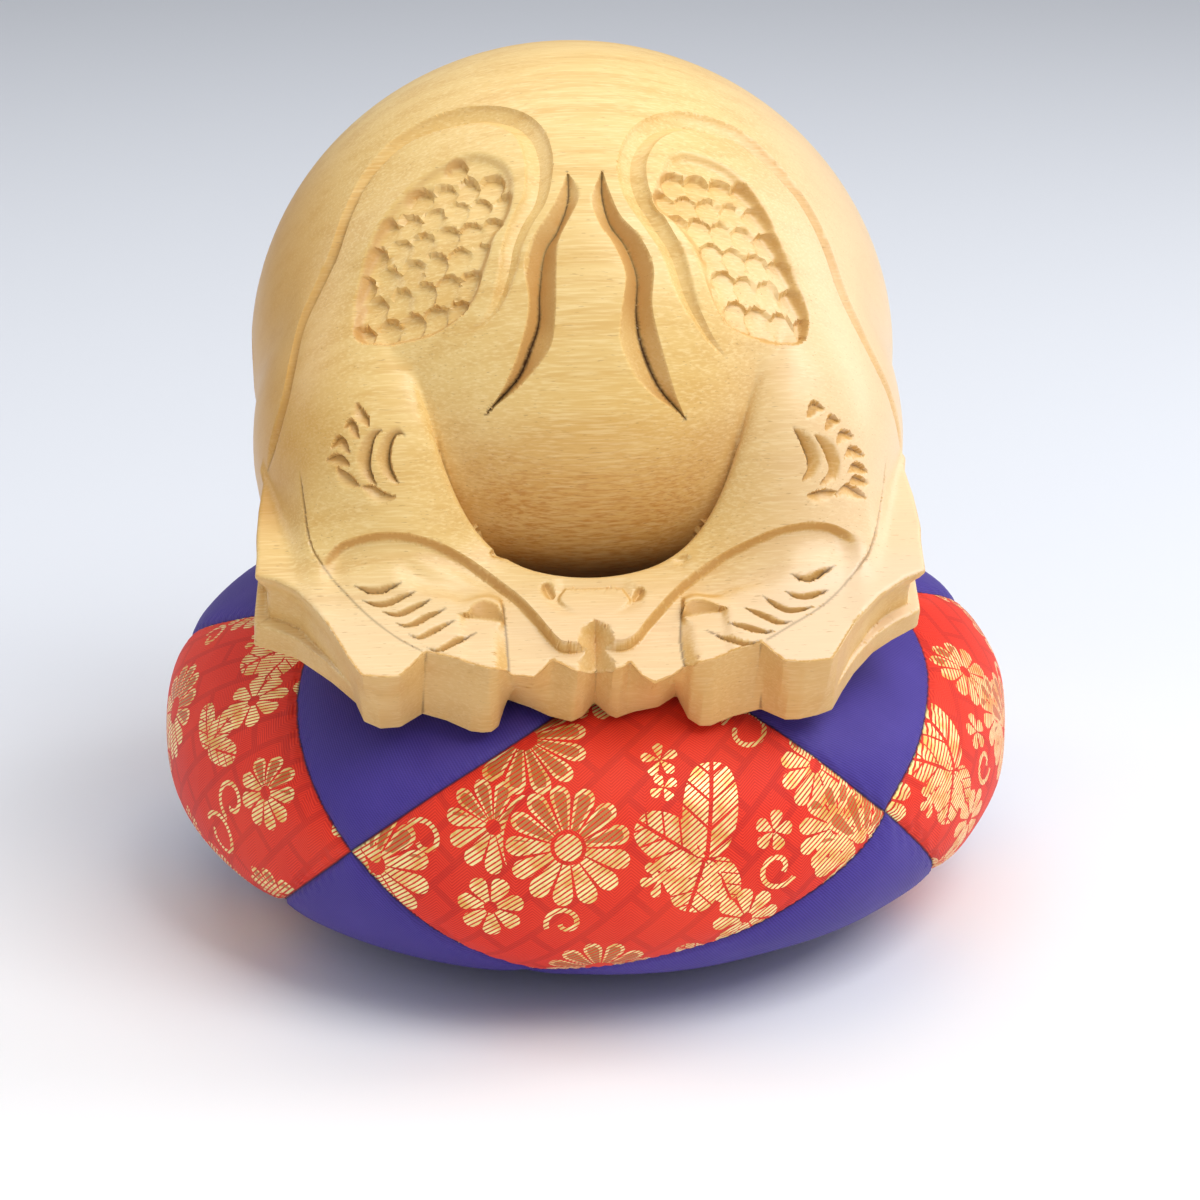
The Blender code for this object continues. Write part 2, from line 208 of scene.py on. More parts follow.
def apply_modifier(piece, kind, **settings):
    step = piece.modifiers.new(kind.lower(), kind)
    for name, value in settings.items():
        setattr(step, name, value)
    bpy.context.view_layer.objects.active = piece
    bpy.ops.object.modifier_apply(modifier=step.name)


def combine(piece, operation, other):
    """Join, cut or intersect one piece with another, which goes."""
    apply_modifier(piece, "BOOLEAN", object=other, operation=operation, solver="EXACT")
    bpy.data.objects.remove(other, do_unlink=True)


def rough_ball(across, ahead, half):
    bpy.ops.mesh.primitive_uv_sphere_add(segments=48, ring_count=32, radius=1.0,
                                         location=(across * MM, -ahead * MM, 0.0))
    ball = bpy.context.object
    ball.scale = [size * MM for size in half]
    bpy.ops.object.transform_apply(location=True, rotation=False, scale=True)
    return ball


def rough_box(ahead, size):
    bpy.ops.mesh.primitive_cube_add(size=1.0, location=(0.0, -ahead * MM, 0.0))
    box = bpy.context.object
    box.scale = [side * MM for side in size]
    bpy.ops.object.transform_apply(location=True, rotation=False, scale=True)
    return box


ROUGH_HANDLE_AHEAD, ROUGH_HANDLE = 34.0, (86.0, 52.0, 2.0 * SLAB_HALF)
ROUGH_BODY_AHEAD, ROUGH_BODY_HALF = -6.8, (44.6, 42.7, 39.5)
LONG_DRILL = 0.12
bpy.ops.object.select_all(action="DESELECT")
rough_arms = [rough_ball(side * ARM_AT[0], ARM_AT[1], ARM_HALF) for side in (1.0, -1.0)]
block = rough_box(ROUGH_HANDLE_AHEAD, ROUGH_HANDLE)
block.name = "mokugyo_carved"
for arm in rough_arms:
    arm.select_set(True)
bpy.ops.object.join()
apply_modifier(block, "REMESH", mode="VOXEL", voxel_size=1.6 * MM)

bpy.ops.mesh.primitive_cylinder_add(vertices=64, radius=RING_RADIUS * MM, depth=LONG_DRILL,
                                    location=(0.0, -RING_AHEAD * MM, 0.0))
combine(block, "DIFFERENCE", bpy.context.object)
rough_ball(0.0, ROUGH_BODY_AHEAD, ROUGH_BODY_HALF)
block.select_set(True)
bpy.context.view_layer.objects.active = block
bpy.ops.object.join()
apply_modifier(block, "REMESH", mode="VOXEL", voxel_size=1.2 * MM)


def saw_shape(outline, low, high):
    """A prism with the handle's outline, between two heights."""
    bpy.ops.mesh.primitive_circle_add(vertices=len(outline), radius=0.05)
    prism = bpy.context.object
    for corner, (across, ahead) in zip(prism.data.vertices, outline):
        corner.co = (across * MM, -ahead * MM, low * MM)
    bpy.ops.object.mode_set(mode="EDIT")
    bpy.ops.mesh.select_all(action="SELECT")
    bpy.ops.mesh.edge_face_add()
    bpy.ops.mesh.extrude_region_move(TRANSFORM_OT_translate={"value": (0.0, 0.0, (high - low) * MM)})
    bpy.ops.mesh.select_all(action="SELECT")
    bpy.ops.mesh.normals_make_consistent(inside=False)
    bpy.ops.object.mode_set(mode="OBJECT")
    return prism


saw = saw_shape(TOP_SAWN, 0.0, CLEAR_OF_BODY)
combine(saw, "UNION", saw_shape(LOW_SAWN, -CLEAR_OF_BODY, 0.3))
combine(block, "INTERSECT", saw)
apply_modifier(block, "REMESH", mode="VOXEL", voxel_size=0.8 * MM)
rough, _ = triangles_of(block)
rough = settle(in_drum_frame(rough) / MM, 4)
block.data.vertices.foreach_set("co", (in_drum_frame(rough) * MM).ravel())
block.data.update()
apply_modifier(block, "DECIMATE", ratio=0.22)
apply_modifier(block, "TRIANGULATE")
points, faces = triangles_of(block)
points = in_drum_frame(points) / MM
faces = faces[:, ::-1]

# ---------------------------------------------------------------------------------------------
# The drum's carving: two dragons, cut into the same block with knife, V tool and gouge. A groove
# runs round each scaled flank, two flame strokes part the crown, and the heads meet over the
# jewel at the front, with fins, brows, eyes and gills.
# ---------------------------------------------------------------------------------------------
CREASE_STEP = 0.1
AT_ONCE = 3000                      # points measured against a line in one go


def smooth_line(knots, step=0.3):
    """Even points along a smooth curve through the knots."""
    knots = np.array(knots, float)
    reach = np.vstack([2.0 * knots[0] - knots[1], knots, 2.0 * knots[-1] - knots[-2]])
    runs = []
    for p0, p1, p2, p3 in zip(reach, reach[1:], reach[2:], reach[3:]):
        count = max(2, int(np.ceil(np.linalg.norm(p2 - p1) / step)))
        t = (np.arange(count) / count)[:, None]
        runs.append(0.5 * (2.0 * p1 + (p2 - p0) * t + (2.0 * p0 - 5.0 * p1 + 4.0 * p2 - p3) * t ** 2
                           + (3.0 * p1 - p0 - 3.0 * p2 + p3) * t ** 3))
    return np.vstack(runs + [knots[-1:]])


def lift(flat, form=block_form):
    """Lay points that are known from above on the block's upper surface."""
    flat = np.atleast_2d(np.asarray(flat, float))
    heights = np.arange(45.0, -7.0, -0.5)
    column = np.empty((len(flat), len(heights), 3))
    column[:, :, :2] = flat[:, None, :2]
    column[:, :, 2] = heights
    inside = form(column.reshape(-1, 3)).reshape(column.shape[:2]) < 0.0
    first = np.argmax(inside, axis=1)
    high, low = heights[np.maximum(first - 1, 0)], heights[first]
    for _ in range(9):
        middle = (high + low) / 2.0
        wood = form(np.column_stack([flat[:, :2], middle])) < 0.0
        high, low = np.where(wood, high, middle), np.where(wood, middle, low)
    return np.column_stack([flat[:, :2], np.where(inside.any(axis=1), (high + low) / 2.0, 6.0)])


def drawn(knots, step=0.3):
    """A smooth line on the block's surface."""
    return lift(smooth_line(knots, step))


def around_line(points, line, reach):
    """Which points lie in the box round a line, widened by a reach."""
    return np.flatnonzero(((points > line.min(0) - reach) & (points < line.max(0) + reach)).all(1))


def length_along(line):
    """How far along a line each of its own points is."""
    return np.concatenate([[0.0], np.cumsum(np.linalg.norm(np.diff(line, axis=0), axis=1))])


def to_the_left(places, run):
    """Unit vectors on the surface, to the left of a line that runs ahead."""
    across = np.cross(slope_of(places)[1], run)
    return across / np.maximum(np.linalg.norm(across, axis=1, keepdims=True), 1e-9)


def nearest_on(points, line):
    """For every point: the way to it from a line, the line's nearest stretch, and the share of
    that stretch before it."""
    run = np.diff(line, axis=0)
    way, stretch, share = np.empty(points.shape), np.empty(len(points), int), np.empty(len(points))
    for part in np.array_split(np.arange(len(points)), max(1, len(points) // AT_ONCE)):
        away = points[part][:, None] - line[:-1][None]
        t = np.clip((away * run).sum(-1) / (run ** 2).sum(-1), 0.0, 1.0)
        away = away - t[..., None] * run
        rows, best = np.arange(len(part)), (away ** 2).sum(-1).argmin(1)
        way[part], stretch[part], share[part] = away[rows, best], best, t[rows, best]
    return way, stretch, share


def gap_to(points, line):
    """Distance from every point to a line."""
    return np.linalg.norm(nearest_on(points, line)[0], axis=1)


def beside(points, line, reach):
    """For the points near a line: how far off they are, the signed distance to its side
    (+ is left of a line that runs ahead), and how far along it they are, 0 to 1."""
    near = around_line(points, line, reach)
    way, stretch, share = nearest_on(points[near], line)
    left = to_the_left((line[1:] + line[:-1]) / 2.0, np.diff(line, axis=0))
    off, start = np.linalg.norm(way, axis=1), length_along(line)
    side = (way * left[stretch]).sum(-1)
    along = (start[stretch] + share * np.diff(start)[stretch]) / start[-1]
    close = off < reach
    return near[close], off[close], side[close], along[close]


def offset_line(line, distance):
    """A line beside another on the surface, + to the left of one that runs ahead."""
    left = to_the_left(line, np.gradient(line, axis=0))
    return settle(line + left * np.reshape(distance, (-1, 1)), 1)


CHANNEL_LEFT = [
    (-41.5, 23.0), (-38.9, 19.0), (-36.8, 10.7), (-34.4, 6.6), (-32.2, 3.3), (-30.4, -1.0),
    (-27.6, -5.9), (-23.4, -9.5), (-18.7, -10.5), (-13.2, -9.8), (-9.1, -7.6), (-6.8, -4.6),
    (-5.8, -1.0), (-5.7, 2.6), (-6.4, 6.3), (-8.2, 9.3), (-9.4, 12.0), (-10.0, 14.6),
    (-11.1, 17.4), (-12.8, 19.4), (-15.6, 20.3)]
CHANNEL_RIGHT = [
    (42.8, 20.5), (40.5, 17.8), (37.9, 15.1), (34.6, 9.7), (32.5, 3.8), (29.9, -0.7),
    (26.3, -4.6), (21.5, -8.1), (17.4, -8.6), (12.8, -7.8), (9.0, -4.9), (6.8, -0.9),
    (6.2, 2.7), (6.8, 6.1), (8.4, 8.9), (9.9, 11.2), (11.0, 13.0), (12.7, 17.6), (14.8, 20.5),
    (16.5, 21.8), (17.9, 22.4)]
FLAMES = [
    {"left": [(-2.0, 2.8), (-4.3, 7.8), (-7.1, 11.7), (-8.0, 14.7), (-7.6, 19.0), (-8.9, 22.9),
              (-11.0, 25.9), (-13.4, 27.6)],
     "right": [(-2.0, 2.8), (-0.7, 6.5), (-3.5, 12.1), (-3.9, 15.4), (-4.2, 20.4),
               (-5.1, 23.5), (-8.6, 26.0), (-13.4, 27.6)],
     "kerf": [(-2.0, 2.8), (-2.2, 6.7), (-3.7, 10.4), (-5.5, 13.0), (-6.3, 17.4),
              (-6.5, 20.6), (-7.5, 22.9), (-9.4, 25.6), (-13.4, 27.6)]},
    {"left": [(2.4, 2.4), (0.8, 6.7), (1.6, 10.2), (3.2, 12.5), (4.7, 16.2), (3.9, 20.7),
              (4.1, 23.5), (6.8, 26.6), (12.3, 28.3)],
     "right": [(2.4, 2.4), (3.1, 5.4), (4.4, 8.9), (6.8, 11.5), (8.4, 14.9), (8.1, 19.1),
               (9.1, 22.7), (10.8, 26.4), (12.3, 28.3)],
     "kerf": [(2.4, 2.4), (2.3, 6.0), (3.2, 9.6), (5.2, 12.3), (6.6, 15.9), (6.4, 20.0),
              (7.0, 23.2), (9.0, 26.4), (12.3, 28.3)]}]
PATCH_LEFT = [
    (-15.1, -2.8), (-13.1, -2.3), (-10.7, -0.7), (-9.3, 1.3), (-8.8, 3.7), (-9.2, 6.6),
    (-10.1, 9.0), (-11.5, 10.5), (-12.4, 13.0), (-14.2, 16.7), (-16.7, 18.4), (-20.9, 19.0),
    (-28.7, 17.4), (-29.9, 13.8), (-29.2, 10.2), (-27.3, 4.9), (-23.7, 0.8), (-19.4, -1.8)]
PATCH_RIGHT = [
    (10.9, -1.0), (13.4, -2.1), (17.2, -1.9), (20.1, -0.8), (22.9, 1.9), (24.8, 4.9),
    (25.8, 7.4), (27.5, 9.9), (28.3, 12.4), (29.0, 15.1), (27.7, 18.6), (25.2, 19.1),
    (22.2, 19.4), (19.5, 19.3), (17.5, 18.8), (15.5, 16.3), (13.5, 12.0), (11.5, 9.3),
    (9.1, 7.6), (8.7, 4.8)]


def grow_and_taper(along, start, end):
    """1 along a cut's length, easing to 0 over the given share of it at either end."""
    shape = np.ones_like(along)
    if start:
        shape = shape * ease(along / start)
    if end:
        shape = shape * ease((1.0 - along) / end)
    return shape


class Carving:
    """At every point of the block: how deep it is cut, how much shade is painted into its narrow cuts, how
    strongly a steep cut shows its cut fibres and painted shade, and where painted shade browns it anyway."""

    def __init__(self, points):
        self.points = points
        self.depth = np.zeros(len(points))
        self.dark = np.zeros(len(points))
        self.tone = np.ones(len(points))
        self.painted_moon_shade = np.zeros(len(points))

    def deepen(self, near, depth):
        self.depth[near] = np.maximum(self.depth[near], depth)

    # painted shade: darkens a point's colour along narrow cuts and in creases
    def paint_shade(self, near, amount):
        self.dark[near] = np.maximum(self.dark[near], amount)

    def vee(self, line, deep, left, right, start=0.2, end=0.2, dark=0.0, dark_wide=0.16):
        """One pass of a V tool, with a slope of its own width on either side."""
        near, off, side, along = beside(self.points, line, max(left, right) + 0.3)
        shape = grow_and_taper(along, start, end)
        wide = np.where(side > 0.0, left, right) * (0.35 + 0.65 * shape)
        self.deepen(near, deep * shape * np.clip(1.0 - off / wide, 0.0, 1.0))
        # painted shade along the cut's narrow bottom
        if dark:
            self.paint_shade(near, dark * shape * np.clip(1.6 - off / dark_wide, 0.0, 1.0))

    def crescent(self, line, deep, left, right, dark=0.0):
        """A cut that swells to its middle and thins out to both ends."""
        near, off, side, along = beside(self.points, line, max(left, right) + 0.3)
        shape = np.sin(np.pi * np.clip(along, 0.0, 1.0)) ** 0.7
        wide = np.maximum(np.where(side > 0.0, left, right) * shape, 0.08)
        self.deepen(near, deep * shape * np.clip(1.0 - off / wide, 0.0, 1.0))
        # painted shade along the cut's narrow bottom
        if dark:
            self.paint_shade(near, dark * shape ** 0.5 * np.clip(1.6 - off / 0.12, 0.0, 1.0))

    def gouge(self, tip, toward, radius, run, deep, wall):
        """One push of a gouge, deepening to a steep rounded end."""
        near = np.flatnonzero(((self.points - tip) ** 2).sum(1) < (run + 2.2 * radius) ** 2)
        normal = slope_of(tip[None])[1][0]
        ahead = toward - normal * (toward @ normal)
        ahead /= np.linalg.norm(ahead)
        beyond = self.points[near] - (tip - ahead * radius)
        s, t = beyond @ ahead, beyond @ np.cross(normal, ahead)
        edge = radius - np.hypot(np.maximum(s, 0.0), t)
        depth = (deep * np.clip((s + run) / (run + radius), 0.0, 1.0) ** 0.75
                 * (1.0 - 0.15 * (t / radius) ** 2) * np.clip(edge / wall, 0.0, 1.0))
        self.deepen(near, depth)


CHANNELS = [drawn(CHANNEL_LEFT), drawn(CHANNEL_RIGHT)]
FLAME_LINES = [{part: drawn(knots) for part, knots in flame.items()} for flame in FLAMES]
PATCHES, PATCH_DEEP = [PATCH_LEFT, PATCH_RIGHT], 0.8
PATCH_LINES = [drawn(knots + knots[:1]) for knots in PATCHES]


def channel_width(along):
    """Half the channel's width: narrow along the flank, broad round the head."""
    return np.interp(along, [0.0, 0.04, 0.40, 0.56, 0.72, 0.88, 1.0],
                     [0.5, 1.0, 1.05, 1.9, 1.9, 1.3, 0.2])


def channel_depth(along):
    return np.interp(along, [0.0, 0.05, 0.40, 0.56, 0.80, 0.92, 1.0],
                     [0.0, 0.9, 1.0, 1.35, 1.25, 0.9, 0.0])


# the scales stand in slanting rows; the frame is the left flank's, and the right one mirrors it
SCALE_CENTRE = np.array([-19.83, 7.57, 34.92])
SCALE_ACROSS = np.array([0.908, 0.145, 0.393])
SCALE_AHEAD = np.array([0.0, 0.938, -0.346])
SCALE_FIRST, SCALE_NEXT, SCALE_ROW = (-0.58, -0.70), (3.37, -0.17), (1.65, 3.23)
SCALE_RADIUS, SCALE_RUN, SCALE_DEEP, SCALE_WALL = 1.84, 2.8, 1.15, 0.28
SCALE_LEAN, SCALE_MIDDLE = 63.2, 1.2          # degrees from across; back from the tip to the middle
hand = np.random.default_rng(1866)
scales = []
for patch, flipped in zip(PATCHES, (1.0, -1.0)):
    mirror = np.array([flipped, 1.0, 1.0])
    for row in range(-5, 6):
        for place in range(-7, 8):
            nudge = hand.uniform(-0.12, 0.12, 2)
            turn, size = hand.uniform(-5.0, 5.0), hand.uniform(0.92, 1.08)
            along = SCALE_FIRST[0] + place * SCALE_NEXT[0] + row * SCALE_ROW[0] + nudge[0]
            down = SCALE_FIRST[1] + place * SCALE_NEXT[1] + row * SCALE_ROW[1] + nudge[1]
            at = (SCALE_CENTRE + along * SCALE_ACROSS + down * SCALE_AHEAD) * mirror
            inside = -inside_outline(patch, at[None, 0], at[None, 1])[0]
            if inside < 0.5:
                continue
            lean = math.radians(SCALE_LEAN + turn)
            toward = (math.cos(lean) * SCALE_ACROSS - math.sin(lean) * SCALE_AHEAD) * mirror
            scales.append((lift(at[:2])[0], toward, size * min(1.0, 0.7 + 0.3 * inside)))

# each shoulder's fin: two long crescents with a fan of short hooked cuts round them
FIN_CRESCENTS = [
    [(-26.3, 28.3), (-27.3, 28.9), (-27.9, 30.2), (-28.1, 31.7), (-27.2, 33.4)],
    [(-23.4, 28.8), (-24.6, 28.9), (-25.4, 30.3), (-25.4, 31.9), (-24.4, 33.4)],
    [(26.0, 28.9), (27.4, 30.7), (28.1, 32.3), (27.1, 33.7)],
    [(28.8, 29.3), (30.3, 30.6), (30.9, 32.1), (29.5, 33.7)]]
FIN_HOOKS = [
    [(-29.5, 24.8), (-28.7, 26.1), (-28.1, 27.0), (-28.0, 27.9)],
    [(-31.2, 27.2), (-30.4, 26.6), (-29.7, 27.5), (-29.3, 28.8)],
    [(-32.9, 28.5), (-32.0, 27.8), (-31.2, 28.4), (-30.5, 29.9)],
    [(-33.6, 29.3), (-32.4, 29.4), (-31.4, 30.0), (-30.5, 31.0)],
    [(-32.3, 30.5), (-31.2, 31.4), (-30.3, 32.2), (-29.3, 33.1)],
    [(-29.2, 33.1), (-27.8, 33.4), (-26.4, 34.1), (-24.7, 34.5)],
    [(27.9, 27.8), (28.5, 26.3), (29.2, 26.0), (30.3, 26.4)],
    [(30.3, 28.6), (30.9, 27.2), (31.4, 26.9), (32.4, 27.1)],
    [(31.8, 29.5), (32.4, 28.2), (33.3, 27.7), (34.3, 27.8)],
    [(32.8, 30.4), (33.7, 29.1), (34.7, 28.7), (35.8, 28.8)],
    [(33.4, 31.5), (34.2, 30.4), (35.2, 30.0), (36.2, 30.1)],
    [(33.4, 32.8), (34.3, 31.5), (35.3, 31.2), (36.3, 31.2)],
    [(27.7, 34.9), (29.2, 34.4), (30.5, 34.0), (31.9, 33.7)],
    [(31.6, 34.2), (33.0, 32.8), (34.3, 32.6), (36.0, 32.9)]]
CRESCENT_LINES = [drawn(knots, step=0.2) for knots in FIN_CRESCENTS]
HOOK_LINES = [drawn(knots, step=0.2) for knots in FIN_HOOKS]

# the line that sets each head off from the handle's flat margin
MARGINS = [drawn([(-37.1, 27.7), (-36.7, 31.3), (-36.0, 36.1), (-34.7, 39.0), (-32.2, 42.4),
                  (-28.5, 46.9), (-24.9, 50.5), (-21.7, 52.8)]),
           drawn([(39.5, 25.3), (38.4, 31.2), (36.6, 37.7), (34.6, 41.0), (29.8, 46.3),
                  (24.7, 50.0), (21.2, 52.4)])]
# the brows, the gills behind the cheeks, and the stop cuts beside the muzzles
BROWS = [drawn([(-34.5, 38.9), (-32.1, 37.5), (-28.3, 37.3), (-24.6, 37.4), (-20.8, 37.7),
                (-17.0, 38.5), (-13.4, 40.4), (-9.7, 43.8), (-7.3, 47.1), (-5.0, 50.9),
                (-3.8, 51.9), (-1.3, 51.9)]),
         drawn([(35.2, 37.7), (32.0, 36.9), (28.7, 37.0), (24.0, 37.7), (20.3, 38.4),
                (17.2, 39.2), (14.1, 40.6), (10.8, 43.2), (6.8, 48.2), (5.1, 50.7),
                (3.5, 51.8), (1.0, 51.6)])]
GILLS = [
    [(-30.4, 42.5), (-27.5, 43.6), (-24.1, 42.4)], [(-29.4, 44.5), (-26.5, 45.4), (-22.4, 43.4)],
    [(-26.9, 46.2), (-24.4, 46.8), (-20.6, 44.5)], [(-25.2, 48.0), (-23.1, 48.5), (-18.7, 45.8)],
    [(-23.6, 49.9), (-21.7, 50.4), (-17.6, 47.7)], [(-21.4, 52.1), (-19.4, 52.5), (-14.8, 49.4)],
    [(25.3, 42.4), (27.8, 43.2), (31.4, 41.2)], [(24.5, 44.6), (27.0, 45.7), (30.3, 44.4)],
    [(21.6, 45.1), (24.6, 47.7), (28.1, 46.9)], [(19.1, 46.7), (22.8, 49.3), (25.2, 49.2)],
    [(16.8, 49.1), (20.6, 50.8), (22.7, 50.7)], [(14.0, 50.0), (18.2, 52.7), (20.8, 52.2)]]
GILL_LINES = [drawn(knots, step=0.2) for knots in GILLS]
STOP_CUTS = [drawn([(-11.5, 44.2), (-11.2, 50.1), (-11.1, 55.0)]),
             drawn([(11.3, 45.5), (10.8, 50.7), (11.0, 55.0)])]
# the eyes, each an arc under its lid and a straight lower edge; the jewel, and the nicks and
# gouged pits round it
EYE_ARCS = [[(-16.0, 46.9), (-15.2, 45.5), (-13.9, 44.9), (-12.4, 45.6), (-11.4, 47.8)],
            [(11.3, 47.6), (11.8, 46.2), (13.2, 45.5), (14.8, 45.9), (16.2, 46.8)]]
EYE_LINES = [smooth_line(knots) for knots in EYE_ARCS]
JEWEL = [(-3.6, 42.9), (-4.6, 45.1), (-2.7, 47.4), (-0.3, 48.4), (2.3, 47.9), (4.4, 46.3),
         (4.9, 45.2), (3.8, 42.9)]
JEWEL_LINE = drawn(JEWEL, step=0.2)
EYE_EDGES = [lift(line) for line in EYE_LINES] + [drawn(line[[0, -1]]) for line in EYE_LINES]
NICKS = [drawn([(-6.2, 42.0), (-4.9, 45.2)], step=0.2), drawn([(6.4, 43.2), (4.9, 45.7)], step=0.2)]
# the inner corners of the sawn front, with painted shade along them
NOTCHES = [np.array([(*top, SLAB_HALF - 0.7), (*low, -SLAB_HALF + 0.7)]) for top, low in (
    ((-21.5, 52.8), (-22.0, 53.3)), ((-11.3, 55.2), (-11.2, 51.2)), ((0.0, 53.5), (0.1, 52.2)),
    ((11.2, 55.0), (10.9, 51.2)), ((20.8, 52.5), (21.5, 53.9)))]
PITS = lift([(-12.9, 37.9), (12.7, 39.3)])


def brow_wall(wide):
    """How far the steep face under a brow reaches: less where it hooks round the nose."""
    return np.interp(np.abs(wide), [1.0, 5.0, 9.0], [0.3, 0.45, 0.85])


FEET = [offset_line(line, turn * brow_wall(line[:, 0])) for line, turn in zip(BROWS, (1.0, -1.0))]


def flat_gap(x, v, knots):
    """Distance to a line on the handle's flat, seen from above."""
    line = np.array(knots, float)[:, :2]
    return gap_to(np.column_stack([x, v]), line)


CHEEK_DEEP, CHEEK_OUTER = 1.3, 35.4
SOCKET, SOCKET_DEEP, SOCKET_HALF = [(25.0, 40.9), (21.9, 42.2), (17.6, 43.0), (14.8, 44.4)], 0.6, 2.2
LID_DEEP, LID_HALF = 0.12, 2.3
SNOUT_DEEP = 1.25
FACET_NARROW, FACET_WIDE = 0.25, 1.7          # the snout's side facet, behind and in front


def head_depth(x, v, side):
    """Wood cut away from one dragon's head in front of its brow."""
    wide = x * (1.0 if side else -1.0)
    brow = BROWS[side][:, :2] * np.array([1.0 if side else -1.0, 1.0])
    brow = brow[brow[:, 0].argsort()]
    ahead = v - np.interp(wide, brow[:, 0], brow[:, 1])
    off = flat_gap(wide, v, brow)
    outer = ease((CHEEK_OUTER - wide) / 3.6)
    cheek = CHEEK_DEEP * outer * (1.0 - 0.73 * ease((off - 0.85) / 4.5))
    socket = ease(1.0 - flat_gap(wide, v, SOCKET) / SOCKET_HALF)
    cheek = cheek + SOCKET_DEEP * socket * ease((26.0 - wide) / 5.0)

    arc = np.abs(EYE_LINES[side])
    base = arc[[0, -1]]
    base = base[base[:, 0].argsort()]
    to_arc, to_base = flat_gap(wide, v, arc), flat_gap(wide, v, base)
    moon = inside_outline(arc, wide, v) < 0.0
    lid = np.where(moon, 1.0, ease(1.0 - to_arc / LID_HALF))
    cheek = cheek * (1.0 - lid) + LID_DEEP * lid
    base_v = np.interp(wide, base[:, 0], base[:, 1]) - 0.05
    block = np.interp(v, [47.5, 50.0, 55.0], [0.95, 0.75, 0.5])
    in_block = ease((17.5 - wide) / 1.5) * (v > base_v)
    cheek = cheek * (1.0 - in_block) + block * in_block
    sunk = to_arc / np.maximum(to_arc + to_base, 1e-6)
    cheek = np.where(moon, 0.10 + (block - 0.10) * sunk, cheek)

    stop = STOP_CUTS[side]
    cut = np.interp(v, stop[:, 1], np.abs(stop[:, 0]))
    snout = SNOUT_DEEP + 0.6 * ease((v - 44.0) / 9.0)
    facet = FACET_NARROW + (FACET_WIDE - FACET_NARROW) * ease((v - 47.2) / 2.4)
    share = np.clip((wide - cut) / facet, 0.0, 1.0)
    depth = snout + (np.maximum(cheek, 0.05) - snout) * share
    depth = depth * np.clip(off / brow_wall(wide), 0.0, 1.0)
    return np.where((ahead > 0.0) & (wide > 0.0), depth, 0.0)


